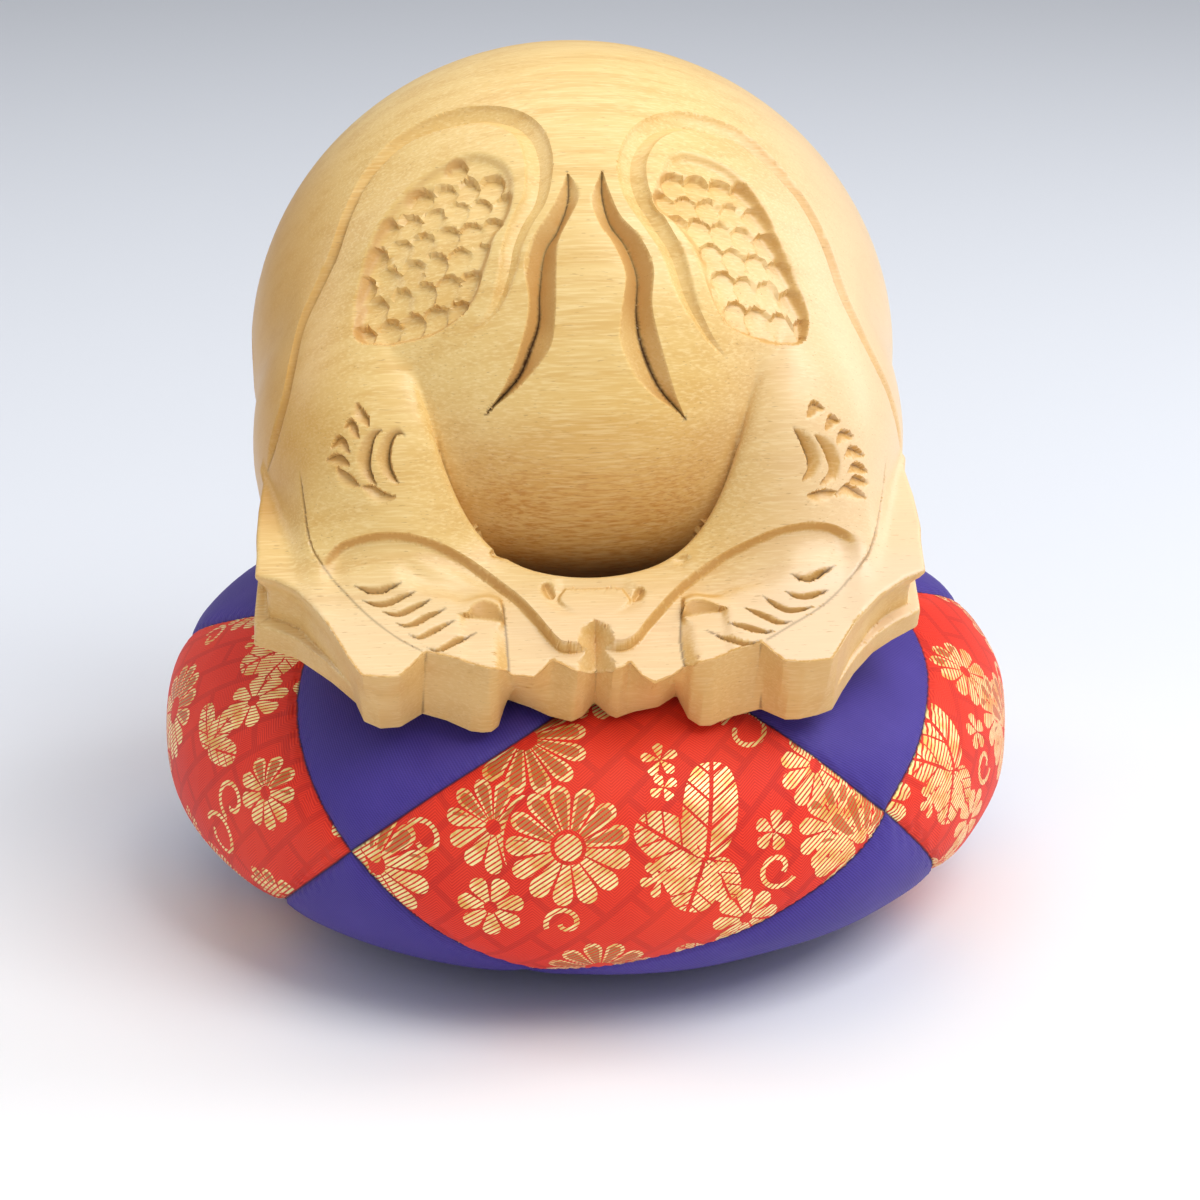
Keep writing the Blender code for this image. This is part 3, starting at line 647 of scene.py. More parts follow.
def carve(points):
    """The finished places of the block's points, and the painted shade along their cuts and on their steep
    faces.
    """
    work = Carving(points)
    x, v, n = points.T
    normals = slope_of(points)[1]
    upper = n > 8.0

    for line in CHANNELS:
        near, off, side, along = beside(points, line, 2.4)
        bowl = np.clip(1.0 - off / channel_width(along), 0.0, 1.0)
        work.deepen(near, channel_depth(along) * bowl ** np.interp(along, [0.4, 0.56], [0.9, 0.6]))
        work.tone[near] = 0.25
        # painted shade along the bottom of the channel where it runs narrow down the flank
        work.paint_shade(near, 0.30 * np.clip(1.5 - off / 0.2, 0.0, 1.0) * ease((0.5 - along) / 0.1))

    for flame in FLAME_LINES:
        near, off, side, along = beside(points, flame["kerf"], 4.5)
        outline = np.vstack([flame["left"], flame["right"][::-1]])[:, :2]
        inside = inside_outline(outline, x[near], v[near]) < 0.0
        near, off, side, along = near[inside], off[inside], side[inside], along[inside]
        edge = np.where(side > 0.0, gap_to(points[near], flame["left"]),
                        gap_to(points[near], flame["right"]))
        deep = 2.2 * np.sin(np.pi * np.clip(along, 0.0, 1.0)) ** 0.6
        work.deepen(near, deep * edge / np.maximum(edge + off, 1e-6))
        # painted shade along the narrow kerf where the flame's two faces meet
        strong = np.interp(along, [0.0, 0.1, 0.35, 0.6, 0.9, 1.0],
                           [0.7, 0.9, 0.55, 1.0, 1.0, 0.7])
        width = np.interp(along, [0.0, 0.5, 0.75, 1.0], [0.12, 0.14, 0.3, 0.14])
        work.paint_shade(near, strong * np.clip(1.5 - off / width, 0.0, 1.0))

    floor = np.zeros(len(points))
    for patch in PATCHES:
        low, high = np.min(patch, axis=0) - 2.0, np.max(patch, axis=0) + 2.0
        near = np.flatnonzero(upper & (x > low[0]) & (x < high[0]) & (v > low[1]) & (v < high[1]))
        inside = -inside_outline(smooth_line(patch + patch[:1])[:-1], x[near], v[near])
        rim = np.interp(v[near], [14.0, 18.0], [1.6, 0.35])
        floor[near] = PATCH_DEEP * ease((inside + 0.15) / rim)
    scoops = Carving(points)
    for tip, toward, size in scales:
        scoops.gouge(tip, toward, SCALE_RADIUS * size, SCALE_RUN, SCALE_DEEP * size, SCALE_WALL)
    work.depth = np.where(floor > 0.0, floor + scoops.depth * ease(floor / 0.5), work.depth)
    work.tone[floor > 0.0] = 0.8

    # the dark values paint shade along the narrow bottoms of the fins' and margins' cuts
    for line in CRESCENT_LINES:
        left, right = (1.7, 0.3) if line[0, 0] < 0.0 else (0.3, 1.7)
        work.crescent(line, 1.25, left, right, dark=0.7)
    for line in HOOK_LINES:
        work.crescent(line, 0.95, 1.5, 0.3, dark=0.25)
    for line in MARGINS:
        work.vee(line, 0.28, 0.22, 0.22, 0.1, 0.02, dark=0.45, dark_wide=0.13)

    handle = np.flatnonzero((v > 36.0) & (n < 12.0) & (n > 0.5))
    hx, hv = x[handle], v[handle]
    for side in range(2):
        work.deepen(handle, head_depth(hx, hv, side))
        # painted shade: each eye's half moon is painted as brown as a steep cut
        moon = ease(0.5 - inside_outline(EYE_LINES[side], hx, hv) / 0.3)
        work.painted_moon_shade[handle] = np.maximum(work.painted_moon_shade[handle], moon)
    # painted shade along the gills' narrow bottoms; the stop cuts are painted shade lines only, cut no deeper
    for line in GILL_LINES:
        work.crescent(line, 1.25, 0.2, 1.1, dark=0.9)
    for line in STOP_CUTS:
        work.vee(line, 0.0, 0.3, 0.3, 0.1, 0.0, dark=0.6, dark_wide=0.12)
    # painted shade along the sawn front's inner corners and along the creases where the belly meets the ring,
    # growing towards the front
    for line, starts in [(line, 0.0) for line in NOTCHES] + [(line, 25.5) for line in RIM_LINES]:
        near = around_line(points, line, 0.5)
        strong = 0.55 * ease((v[near] - starts) / 8.0)
        work.paint_shade(near, strong * np.clip(1.7 - gap_to(points[near], line) / 0.16, 0.0, 1.0))
    round_jewel = inside_outline(JEWEL_LINE[:-1, :2], hx, hv)
    raised = np.where(round_jewel > 0.0, 1.0 - round_jewel / 1.6, 1.0 + round_jewel / 0.5)
    work.deepen(handle, 0.45 * np.clip(raised, 0.0, 1.0) * ease((48.2 - hv) / 3.0))
    for line in NICKS:
        work.vee(line, 0.9, 1.0, 1.0, 0.3, 0.3)
    for pit in PITS:
        work.gouge(pit, np.array([0.9 * np.sign(pit[0]), -0.1, 0.0]), 0.7, 1.6, 0.7, 0.4)
    # the notch between the muzzles
    dive = np.interp(hv, [48.5, 49.2, 50.1, 52.0, 54.0], [0.0, 1.6, 2.8, 3.4, 5.1])
    dive = np.maximum(dive - np.abs(hx) / 0.72, 0.0)
    work.deepen(handle, dive)
    work.tone[handle[dive > 0.0]] = 0.35

    on_handle = (ease((v - 38.5) / 1.5) * ease((8.0 - n) / 1.5))[:, None]
    inward = normals * (1.0 - on_handle) + np.array([0.0, 0.0, 1.0]) * on_handle
    done = points - inward * work.depth[:, None]
    wall = (v > 36.0) & (normals[:, 2] < 0.75) & (np.abs(n) < SLAB_HALF) & (work.depth > 0.0)
    clipped = np.minimum(n, SLAB_HALF - work.depth)
    done[wall] = np.column_stack([x, v, clipped])[wall]
    return done, work


def dotted(line, step=CREASE_STEP):
    """Even points along a line, a crease's step apart."""
    start = length_along(line)
    even = np.linspace(0.0, start[-1], max(2, int(start[-1] / step)))
    return np.column_stack([np.interp(even, start, line[:, axis]) for axis in range(3)])


def split_long(points, faces, wanted):
    """Split every side of the triangles that is longer than wanted, at its middle."""
    count = len(points)
    corners = np.stack([faces, np.roll(faces, -1, axis=1)], axis=2)
    corners.sort(axis=2)
    key = corners[..., 0] * count + corners[..., 1]
    unique, which = np.unique(key, return_inverse=True)
    which = which.reshape(-1, 3)
    a, b = unique // count, unique % count
    size = np.linalg.norm(points[a] - points[b], axis=1)
    cut = size > 1.35 * np.minimum(wanted[a], wanted[b])
    new = np.full(len(unique), -1)
    new[cut] = count + np.arange(cut.sum())
    middles = (points[a[cut]] + points[b[cut]]) / 2.0
    marks = cut[which]
    cuts = marks.sum(1)
    none, one, two, three = (cuts == number for number in range(4))
    turn = np.where(one, marks.argmax(1), np.where(two, (marks.argmin(1) + 1) % 3, 0))
    rows = np.arange(len(faces))[:, None]
    order = (turn[:, None] + np.arange(3)) % 3
    f, m = faces[rows, order], new[which[rows, order]]
    a0, a1, a2 = f.T
    m0, m1, m2 = m.T
    parts = [f[none],
             np.column_stack([a0, m0, a2])[one], np.column_stack([m0, a1, a2])[one],
             np.column_stack([m0, a1, m1])[two], np.column_stack([a0, m0, m1])[two],
             np.column_stack([a0, m1, a2])[two],
             np.column_stack([a0, m0, m2])[three], np.column_stack([m0, a1, m1])[three],
             np.column_stack([m2, m1, a2])[three], np.column_stack([m0, m1, m2])[three]]
    return np.vstack([points, middles]), np.vstack(parts)


def round_ring(radius):
    around = np.linspace(0.0, 2.0 * math.pi, 500)
    return np.column_stack([radius * np.sin(around), RING_AHEAD + radius * np.cos(around)])


def at_height(outline, height, step=CREASE_STEP):
    """An outline's dots, all at one height."""
    return dotted(np.column_stack([np.array(outline), np.full(len(outline), height)]), step)


# the corner where the egg leaves the ring's wall, and its two sides where the belly sinks
# behind the arms
corner = lift(round_ring(RING_RADIUS - 0.02), form=egg)
corner = corner[corner[:, 2] > -SLAB_HALF]
corner = corner[(block_form(corner) < 0.6) & (np.abs(corner[:, 2] - 6.0) > 1e-6)]
RIM_LINES = []
for turn in (1.0, -1.0):
    rim = corner[(corner[:, 0] * turn > 0.0) & (corner[:, 1] > 26.0) & (corner[:, 2] > -2.0)]
    RIM_LINES.append(rim[rim[:, 1].argsort()])

# the creases that the surface follows exactly, and the edges where it is only fine
crease_lines = [line for flame in FLAME_LINES for line in flame.values()]
for line in CHANNELS:
    half = channel_width(np.linspace(0.0, 1.0, len(line)))
    crease_lines += [line, offset_line(line, half), offset_line(line, -half)]
crease_lines += PATCH_LINES + CRESCENT_LINES + HOOK_LINES + MARGINS + BROWS + FEET + GILL_LINES
crease_lines += STOP_CUTS + EYE_EDGES + NICKS
crease_dots = np.vstack([dotted(line) for line in crease_lines]
                        + [corner[np.abs(block_form(corner)) < 0.12]])
edge_lines = [corner] + [dotted(line) for line in NOTCHES + [JEWEL_LINE]]
edge_lines += [at_height(TOP_OUTLINE, SLAB_HALF - 0.3), at_height(LOW_OUTLINE, -SLAB_HALF + 0.3)]
edge_lines.append(np.array([(0.0, 48.5, 6.0), (0.0, 52.0, 6.0), (-2.0, 55.0, 6.0), (2.0, 55.0, 6.0)]))
edge_lines.append(lift(round_ring(RING_RADIUS + 0.7)))
scale_dots = np.array([tip - toward * SCALE_MIDDLE for tip, toward, _ in scales])
edge_lines.append(scale_dots)
for outline in (TOP_OUTLINE, LOW_OUTLINE):
    ledge = at_height(outline, LEDGE, 0.3)
    ledge = ledge[(np.abs(ledge[:, 0]) > 32.0) & (ledge[:, 1] > 33.0)]
    edge_lines += [ledge, ledge * np.array([0.965, 0.985, 1.0])]

# the upright corners of the sawn front, where its facets meet
corner_lines = []
for outline, heights in ((TOP_OUTLINE, (0.0, 6.0)), (LOW_OUTLINE, (-6.0, 0.0))):
    for before, here, after in zip(outline, outline[1:], outline[2:]):
        turn = (math.atan2(after[1] - here[1], after[0] - here[0])
                - math.atan2(here[1] - before[1], here[0] - before[0]))
        if abs(math.sin(turn)) > 0.35 and here[1] > 40.0:
            corner_lines.append(np.array([(*here, height) for height in np.arange(*heights, 0.3)]))
near_dots = np.vstack([crease_dots] + edge_lines + corner_lines)
slack = np.zeros(len(near_dots))
slack[-sum(len(line) for line in corner_lines):] = 0.15


def tree_of(dots):
    tree = KDTree(len(dots))
    for number, dot in enumerate(dots):
        tree.insert(dot, number)
    tree.balance()
    return tree


near_tree, crease_tree, scale_tree = tree_of(near_dots), tree_of(crease_dots), tree_of(scale_dots)
FINE, COARSE, HIDDEN = 0.305, 1.8, 2.4        # the sides of triangles: carved, plain, out of sight
SCALE_REACH = 2.2


def wanted_size(points):
    """How long a triangle's side may be: short by the carving, long on the plain egg."""
    size = np.empty(len(points))
    for number, point in enumerate(points):
        _, which, gap = near_tree.find(point)
        if gap > SCALE_REACH and scale_tree.find(point)[2] < SCALE_REACH:
            gap = 0.0
        size[number] = max(gap - 0.35, 0.0) * 0.42 + slack[which]
    hidden = (points[:, 2] < -8.0) | (points[:, 1] < -25.0)
    return np.clip(FINE + size, FINE, np.where(hidden, HIDDEN, COARSE))


points = settle(points, 4)
wanted = wanted_size(points)
for _ in range(6):
    known = len(points)
    points, faces = split_long(points, faces, wanted)
    if len(points) == known:
        break
    points[known:] = settle(points[known:], 2)
    wanted = np.concatenate([wanted, wanted_size(points[known:])])
    ragged = wanted < 1.0
    points[ragged] = settle(points[ragged], 1)
for number in np.flatnonzero(wanted < FINE * 1.6):
    place, _, gap = crease_tree.find(points[number])
    if gap < 0.5 * wanted[number]:
        points[number] = place
before = points
points, carving = carve(points)


def pick(piece):
    bpy.ops.object.select_all(action="DESELECT")
    piece.select_set(True)
    bpy.context.view_layer.objects.active = piece


def piece_from(name, points, faces):
    """A mesh object, selected, from points in mm."""
    mesh = bpy.data.meshes.new(name)
    mesh.from_pydata((points * MM).tolist(), [], faces.tolist())
    mesh.update()
    piece = bpy.data.objects.new(name, mesh)
    bpy.context.scene.collection.objects.link(piece)
    pick(piece)
    return piece


bpy.data.objects.remove(block, do_unlink=True)
drum = piece_from("mokugyo_carved", in_drum_frame(points), faces[:, ::-1])
bpy.ops.object.mode_set(mode="EDIT")
bpy.ops.mesh.select_all(action="SELECT")
bpy.ops.mesh.remove_doubles(threshold=0.004 * MM)
bpy.ops.mesh.dissolve_degenerate(threshold=0.002 * MM)
bpy.ops.mesh.quads_convert_to_tris()
bpy.ops.object.mode_set(mode="OBJECT")

# ---------------------------------------------------------------------------------------------
# The drum's voice: the belly is hollowed out through a slit sawn in from the tail, level with
# the handle, and the slit ends in a round hole bored through from side to side.
# ---------------------------------------------------------------------------------------------
WALL = 8.0
SLIT_HIGH, SLIT_FRONT, SLIT_END_RADIUS = 5.6, -4.0, 5.0
SAW_WIDE, SAW_LONG = 110.0, 56.0

hollow = rough_ball(0.0, -EGG["behind"], (EGG["half_wide"] - WALL, EGG["back"] - WALL, EGG["down"] - WALL))
taller = (EGG["up"] - WALL) / (EGG["down"] - WALL)
shorter = (EGG["front"] - WALL) / (EGG["back"] - WALL)
waist = EGG["behind"] * MM
for corner in hollow.data.vertices:
    if corner.co.z > 0.0:
        corner.co.z *= taller
    if corner.co.y < waist:
        corner.co.y = waist + (corner.co.y - waist) * shorter
combine(hollow, "UNION", rough_box(SLIT_FRONT - SAW_LONG / 2.0, (SAW_WIDE, SAW_LONG, SLIT_HIGH)))
bpy.ops.mesh.primitive_cylinder_add(vertices=48, radius=SLIT_END_RADIUS * MM, depth=SAW_WIDE * MM,
                                    location=(0.0, -SLIT_FRONT * MM, 0.0),
                                    rotation=(0.0, math.pi / 2.0, 0.0))
bpy.ops.object.transform_apply(location=True, rotation=True, scale=True)
combine(hollow, "UNION", bpy.context.object)
combine(drum, "DIFFERENCE", hollow)

# The carved places keep the shade painted into their narrow cuts and the ring's gap, how steeply they were
# cut, and how far the belly was left as it came from the gouge, with painted shade low on it, for the wood's
# colour.
tilt = np.array([[1.0, 0.0, 0.0], [0.0, math.cos(DRUM_TILT), -math.sin(DRUM_TILT)],
                 [0.0, math.sin(DRUM_TILT), math.cos(DRUM_TILT)]])
own, facing = np.empty((2, len(drum.data.vertices) * 3))
drum.data.vertices.foreach_get("co", own)
drum.data.vertices.foreach_get("normal", facing)
own, facing = own.reshape(-1, 3), in_drum_frame(facing.reshape(-1, 3))
carved_tree = tree_of(points)
marks = np.zeros((len(own), 4))
marks[:, 3] = 1.0
spots = in_drum_frame(own) / MM
across, ahead, up = spots.T
before_slope = slope_of(before)[1]
inside = np.ones(len(own), bool)
CARVED_GAP = 0.15                   # what lies farther than this from the carving is in the hollow
for number, spot in enumerate(spots):
    _, source, gap = carved_tree.find(spot)
    if gap < CARVED_GAP:
        inside[number] = False
        marks[number, 0] = carving.dark[source]
        if carving.depth[source] > 0.05:
            # cut fibres and painted shade: the more steeply a cut turns from the uncut surface, the browner
            # it is painted
            steep = 1.0 - float(facing[number] @ before_slope[source])
            steep = ease((steep - 0.05) / 0.30) * carving.tone[source]
            marks[number, 1] = max(steep, carving.painted_moon_shade[source])
off_ring = np.hypot(across, ahead - RING_AHEAD)
# the belly inside the ring counts as raw wood, with painted shade that is strongest low down
belly = ease((RING_RADIUS + 1.0 - off_ring) / 5.0) * ease((26.0 - up) / 16.0) * ease((up + 30.0) / 20.0)
marks[:, 2] = np.where(inside, 1.0, belly)
# painted shade: the handle's sawn front walls are painted half as brown as a steep cut
sawn = (ahead > 30.0) & (np.abs(facing[:, 2]) < 0.5) & (np.abs(up) < SLAB_HALF - 0.1) & (off_ring > 22.0)
marks[:, 1] = np.maximum(marks[:, 1], 0.5 * sawn)
# painted shade: deep in the ring's gap the belly is painted nearly black, darkest towards the bottom
in_gap = ease((RING_RADIUS + 0.1 - off_ring) / 0.7) * (ahead > 18.0) * ~inside
marks[:, 0] = np.maximum(marks[:, 0], 0.8 * ease((5.0 - up) / 4.5) * in_gap)
paint = drum.data.color_attributes.new("cut_marks_and_painted_shade", "FLOAT_COLOR", "POINT")
paint.data.foreach_set("color", marks.ravel())
drum.data.vertices.foreach_set("co", (own @ tilt.T + np.array(DRUM_AT) * MM).ravel())
drum.data.update()
pick(drum)
bpy.ops.object.shade_smooth_by_angle(angle=math.radians(38.0))


class Reading:
    """A value somewhere on a surface. Sums written with it become the material's Math nodes."""

    def __init__(self, finish, socket):
        self.finish, self.socket = finish, socket

    def sum_of(self, operation, *values):
        return self.finish.node("ShaderNodeMath", {"operation": operation}, dict(enumerate(values)))

    def __add__(self, other):
        return self.sum_of("ADD", self, other)

    def __sub__(self, other):
        return self.sum_of("SUBTRACT", self, other)

    def __rsub__(self, other):
        return self.sum_of("SUBTRACT", other, self)

    def __mul__(self, other):
        return self.sum_of("MULTIPLY", self, other)

    def __truediv__(self, other):
        return self.sum_of("DIVIDE", self, other)

    def __pow__(self, other):
        return self.sum_of("POWER", self, other)

    def __abs__(self):
        return self.sum_of("ABSOLUTE", self)

    def __gt__(self, other):
        return self.sum_of("GREATER_THAN", self, other)

    def __lt__(self, other):
        return self.sum_of("LESS_THAN", self, other)

    __radd__, __rmul__ = __add__, __mul__

    def most(self, other):
        return self.sum_of("MAXIMUM", self, other)

    def least(self, other):
        return self.sum_of("MINIMUM", self, other)

    def part(self):
        return self.sum_of("FRACT", self)

    def between(self, low, high):
        """0 below the first value and 1 above the second, easing between them."""
        return self.finish.node("ShaderNodeMapRange", {"interpolation_type": "SMOOTHSTEP"},
                                {0: self, 1: low, 2: high, 3: 0.0, 4: 1.0})


class Finish:
    """A material, built up node by node."""

    def __init__(self, name):
        self.material = bpy.data.materials.new(name)
        self.material.use_nodes = True
        self.tree = self.material.node_tree
        self.shader = self.tree.nodes["Principled BSDF"]

    def node(self, kind, settings=None, inputs=None, out=0):
        """Add a node: its settings first, then its sockets' values or links."""
        node = self.tree.nodes.new(kind)
        for name, value in (settings or {}).items():
            setattr(node, name, value)
        for name, value in (inputs or {}).items():
            self.feed(node.inputs[name], value)
        return Reading(self, node.outputs[out])

    def feed(self, socket, value):
        if isinstance(value, Reading):
            self.tree.links.new(value.socket, socket)
        else:
            socket.default_value = value

    def axes(self, where):
        """The first two parts of a vector."""
        first = self.node("ShaderNodeSeparateXYZ", None, {0: where})
        return first, Reading(self, first.socket.node.outputs[1])

    def blend(self, share, low, high):
        """One colour into another, by a share from 0 to 1."""
        low, high = (value if isinstance(value, Reading) else (*value, 1.0) for value in (low, high))
        return self.node("ShaderNodeMix", {"data_type": "RGBA"}, {0: share, 6: low, 7: high}, out=2)

    def noise(self, where, scale, detail=2.0, rough=0.5):
        return self.node("ShaderNodeTexNoise", None, {"Vector": where, "Scale": scale, "Detail": detail,
                                                      "Roughness": rough})

    def stretched_noise(self, where, scale, detail, rough=0.5, turn=0.0):
        """Noise drawn out along the directions that are scaled least."""
        where = self.node("ShaderNodeMapping", None, {
            "Vector": where, "Rotation": (0.0, 0.0, turn), "Scale": scale})
        return self.noise(where, 1.0, detail, rough)

    def surface(self, **sockets):
        """Set the shader's sockets, with values that are the same all over or with readings."""
        for name, value in sockets.items():
            self.feed(self.shader.inputs[name.replace("_", " ")], value)

    def bump(self, height, deep, strength):
        """Relief of a given real depth, in metres, where the height runs from 0 to 1."""
        return self.node("ShaderNodeBump", None, {"Strength": strength, "Distance": deep, "Height": height})


def bare_wood():
    """Pale close-grained wood, its fibres running across the drum, planed and lightly polished."""
    wood = Finish("carved_wood")
    place = wood.node("ShaderNodeTexCoord", out="Object")
    grain = wood.node("ShaderNodeMapping", {"vector_type": "TEXTURE"}, {
        "Vector": place, "Rotation": (DRUM_TILT, 0.0, 0.0), "Location": [at * MM for at in DRUM_AT]})
    dark = wood.node("ShaderNodeSeparateColor", None, {
        0: wood.node("ShaderNodeAttribute", {"attribute_name": "cut_marks_and_painted_shade"}, out="Color")})
    facet, raw_wood_and_shade = (Reading(wood, dark.socket.node.outputs[channel]) for channel in (1, 2))

    drift = wood.stretched_noise(grain, (14.0, 34.0, 34.0), 3.0)
    figure = wood.stretched_noise(grain, (28.0, 420.0, 260.0), 3.0, 0.6)
    fibre = wood.stretched_noise(grain, (190.0, 3600.0, 3600.0), 2.0, 0.6)
    fuzz = wood.stretched_noise(grain, (380.0, 2800.0, 2800.0), 2.0, 0.7)
    pores = wood.stretched_noise(grain, (620.0, 5200.0, 5200.0), 1.0, turn=0.1).between(0.68, 0.76)

    colour = wood.blend(drift.between(0.3, 0.7), (0.84, 0.585, 0.225), (0.77, 0.475, 0.135))
    colour = wood.blend(figure.between(0.42, 0.66) * 0.42, colour, (0.66, 0.355, 0.075))
    colour = wood.blend(fibre.between(0.42, 0.72) * 0.50, colour, (0.96, 0.75, 0.37))
    # painted shade makes the left flank the darkest, and painted highlight makes the right one and the
    # handle's front the palest
    across, back = wood.axes(grain)
    ahead = back * -1.0
    flank = (across * -1.0).between(0.026, 0.042) * (1.0 - ahead.between(0.026, 0.038))
    colour = wood.blend(flank * 0.65, colour, (0.60, 0.28, 0.035))
    pale = (across.between(0.010, 0.040) * 0.75 + ahead.between(0.036, 0.050) * 0.55).least(0.85)
    colour = wood.blend(pale * (1.0 - facet * 1.8).most(0.0), colour, (0.85, 0.63, 0.41))
    # what the tools did: raw wood, cut fibres and open pores; and painted shade low on the belly, on steep
    # cuts and along the narrow cuts
    colour = wood.blend(raw_wood_and_shade * (0.5 + fuzz.between(0.4, 0.7) * 0.40), colour, (0.50, 0.20, 0.026))
    colour = wood.blend(facet * 0.80, colour, (0.56, 0.28, 0.075))
    colour = wood.blend(pores * (0.4 + raw_wood_and_shade * 0.2), colour, (0.38, 0.17, 0.04))
    # painted shade along the narrow cuts and deep in the ring's gap
    colour = wood.blend(dark, colour, (0.060, 0.020, 0.006))
    height = fibre * 0.5 + fuzz * (0.15 + raw_wood_and_shade * 1.2) - pores * 0.35
    wood.surface(Base_Color=colour, Roughness=0.34 + fibre * 0.08 + raw_wood_and_shade * 0.3 + facet * 0.14,
                 Specular_IOR_Level=0.4, Coat_Weight=0.14 * (1.0 - raw_wood_and_shade).least(1.0 - facet * 0.6),
                 Coat_Roughness=0.22, Normal=wood.bump(height, 0.00005, 0.6))
    return wood.material


drum.data.materials.clear()
drum.data.materials.append(bare_wood())
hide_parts("mokugyo")
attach(drum, "root")

# ---------------------------------------------------------------------------------------------
# The cushion: five brocade diamonds round its middle and plain purple twill between them, sewn
# into a ring and stuffed hard. Its own weight flattens its base, and the drum presses a dimple.
# ---------------------------------------------------------------------------------------------
PAD_RADIUS, PAD_WAIST, PAD_CROWN, PAD_SQUASH = 60.8, 23.4, 25.6, 1.2
ROUND_OUT, ROUND_UP, ROUND_DOWN = 2.67, 2.65, 2.34
PANELS = 5
PANEL_TURN = 2.0 * math.pi / PANELS
HALF_PANEL = PANEL_TURN / 2.0
FRONT_PANEL = math.radians(2.0)
CLEAR = 0.45                        # between the cloth and the wood


def pad_angles(points):
    """Where points lie round the cushion, and how far up or down its rounded side."""
    around = np.arctan2(points[:, 0], -points[:, 1])
    out = (np.hypot(points[:, 0], points[:, 1]) / PAD_RADIUS) ** (ROUND_OUT / 2.0)
    rise = points[:, 2] - PAD_WAIST
    above = (np.abs(rise) / PAD_CROWN) ** (ROUND_UP / 2.0)
    below = (np.abs(rise) / (PAD_WAIST + PAD_SQUASH)) ** (ROUND_DOWN / 2.0)
    return around, np.arctan2(np.where(rise > 0.0, above, -below), out)


def on_pad(around, level):
    """Points of the plump cushion, before it settles."""
    out = PAD_RADIUS * np.maximum(np.cos(level), 0.0) ** (2.0 / ROUND_OUT)
    swell = np.abs(np.sin(level))
    rise = np.where(level > 0.0, PAD_CROWN * swell ** (2.0 / ROUND_UP),
                    -(PAD_WAIST + PAD_SQUASH) * swell ** (2.0 / ROUND_DOWN))
    return np.column_stack([out * np.sin(around), -out * np.cos(around), PAD_WAIST + rise])


def plump(ball):
    """The plump cushion's points, from those of a ball."""
    return on_pad(np.arctan2(ball[:, 0], -ball[:, 1]), np.arcsin(np.clip(ball[:, 2], -1.0, 1.0)))


def girth_at(points):
    return np.maximum(np.hypot(points[:, 0], points[:, 1]), 2.0)


# how far up the rounded side each level is, in mm of cloth from the waist
LEVELS = np.linspace(-1.57, 1.57, 400)
RISE = length_along(on_pad(np.zeros(len(LEVELS)), LEVELS))
RISE -= np.interp(0.0, LEVELS, RISE)

# where four panels meet, mm above the waist, to the right of each brocade panel; and each seam
# from there to the brocade's tip: how far up or down the side it runs, and how it bows
MEETING = [4.6, 3.4, 3.4, 3.4, 2.1]
PLAIN = (33.0, 1.0)
LEFT_UP = [(32.7, 1.0), (21.5, 1.15), PLAIN, PLAIN, PLAIN]
RIGHT_UP = [(52.0, 0.85), PLAIN, PLAIN, PLAIN, (34.5, 1.05)]
LEFT_DOWN = [(34.0, 0.96), (35.0, 1.04), PLAIN, PLAIN, PLAIN]
RIGHT_DOWN = [(19.5, 1.35), PLAIN, PLAIN, PLAIN, (32.3, 1.02)]


def seam_gaps(points):
    """Distances in mm: into the brocade from its seams, and beside the purple panels' seams."""
    around, level = pad_angles(points)
    rise, girth = np.interp(level, LEVELS, RISE), girth_at(points)
    panel = np.round((around - FRONT_PANEL) / PANEL_TURN)
    from_middle = around - FRONT_PANEL - panel * PANEL_TURN
    panel = panel.astype(int) % PANELS
    edges, slopes = [], []
    for up, down, meeting in ((LEFT_UP, LEFT_DOWN, np.roll(MEETING, 1)),
                              (RIGHT_UP, RIGHT_DOWN, MEETING)):
        from_corner = rise - np.array(meeting)[panel]
        shape = np.where((from_corner > 0.0)[:, None], np.array(up)[panel], np.array(down)[panel])
        share = np.clip(np.abs(from_corner) / shape[:, 0], 1e-4, None)
        edges.append(HALF_PANEL * (1.0 - share ** shape[:, 1]))
        slopes.append(HALF_PANEL * shape[:, 1] * share ** (shape[:, 1] - 1.0) / shape[:, 0])
    left, right = from_middle + edges[0], edges[1] - from_middle
    brocade = np.minimum(left * girth / np.sqrt(1.0 + (slopes[0] * girth) ** 2),
                         right * girth / np.sqrt(1.0 + (slopes[1] * girth) ** 2))
    # past its tip the two purple panels meet each other
    tip = (edges[1] - edges[0]) / 2.0
    ridge = np.where(edges[0] + edges[1] < 0.0, (from_middle - tip) * girth, 99.0)
    return brocade, ridge


def nearest_seam(points):
    brocade, ridge = seam_gaps(points)
    return np.minimum(np.abs(brocade), np.abs(ridge))


def in_order(faces):
    """Faces, each from its lowest corner on, in an order that is the same on every run."""
    firsts = [face.index(min(face)) for face in faces]
    return sorted(face[first:] + face[:first] for face, first in zip(faces, firsts))


bpy.ops.object.select_all(action="DESELECT")
bpy.ops.mesh.primitive_uv_sphere_add(segments=220, ring_count=84, radius=1.0)
plain = bpy.context.object
bpy.ops.object.mode_set(mode="EDIT")
bpy.ops.mesh.select_all(action="SELECT")
bpy.ops.mesh.quads_convert_to_tris()
bpy.ops.object.mode_set(mode="OBJECT")
ball, pad_faces = triangles_of(plain)
bpy.data.objects.remove(plain, do_unlink=True)
pad_points, pad_faces = plump(ball), np.array(in_order(pad_faces.tolist()))


def seam_size(points):
    """Short triangles along the seams, and longer ones on the cloth between."""
    longest = np.where(points[:, 2] < 4.0, 3.0, 1.6)
    return np.clip(0.5 + 0.25 * nearest_seam(points), 0.5, longest)


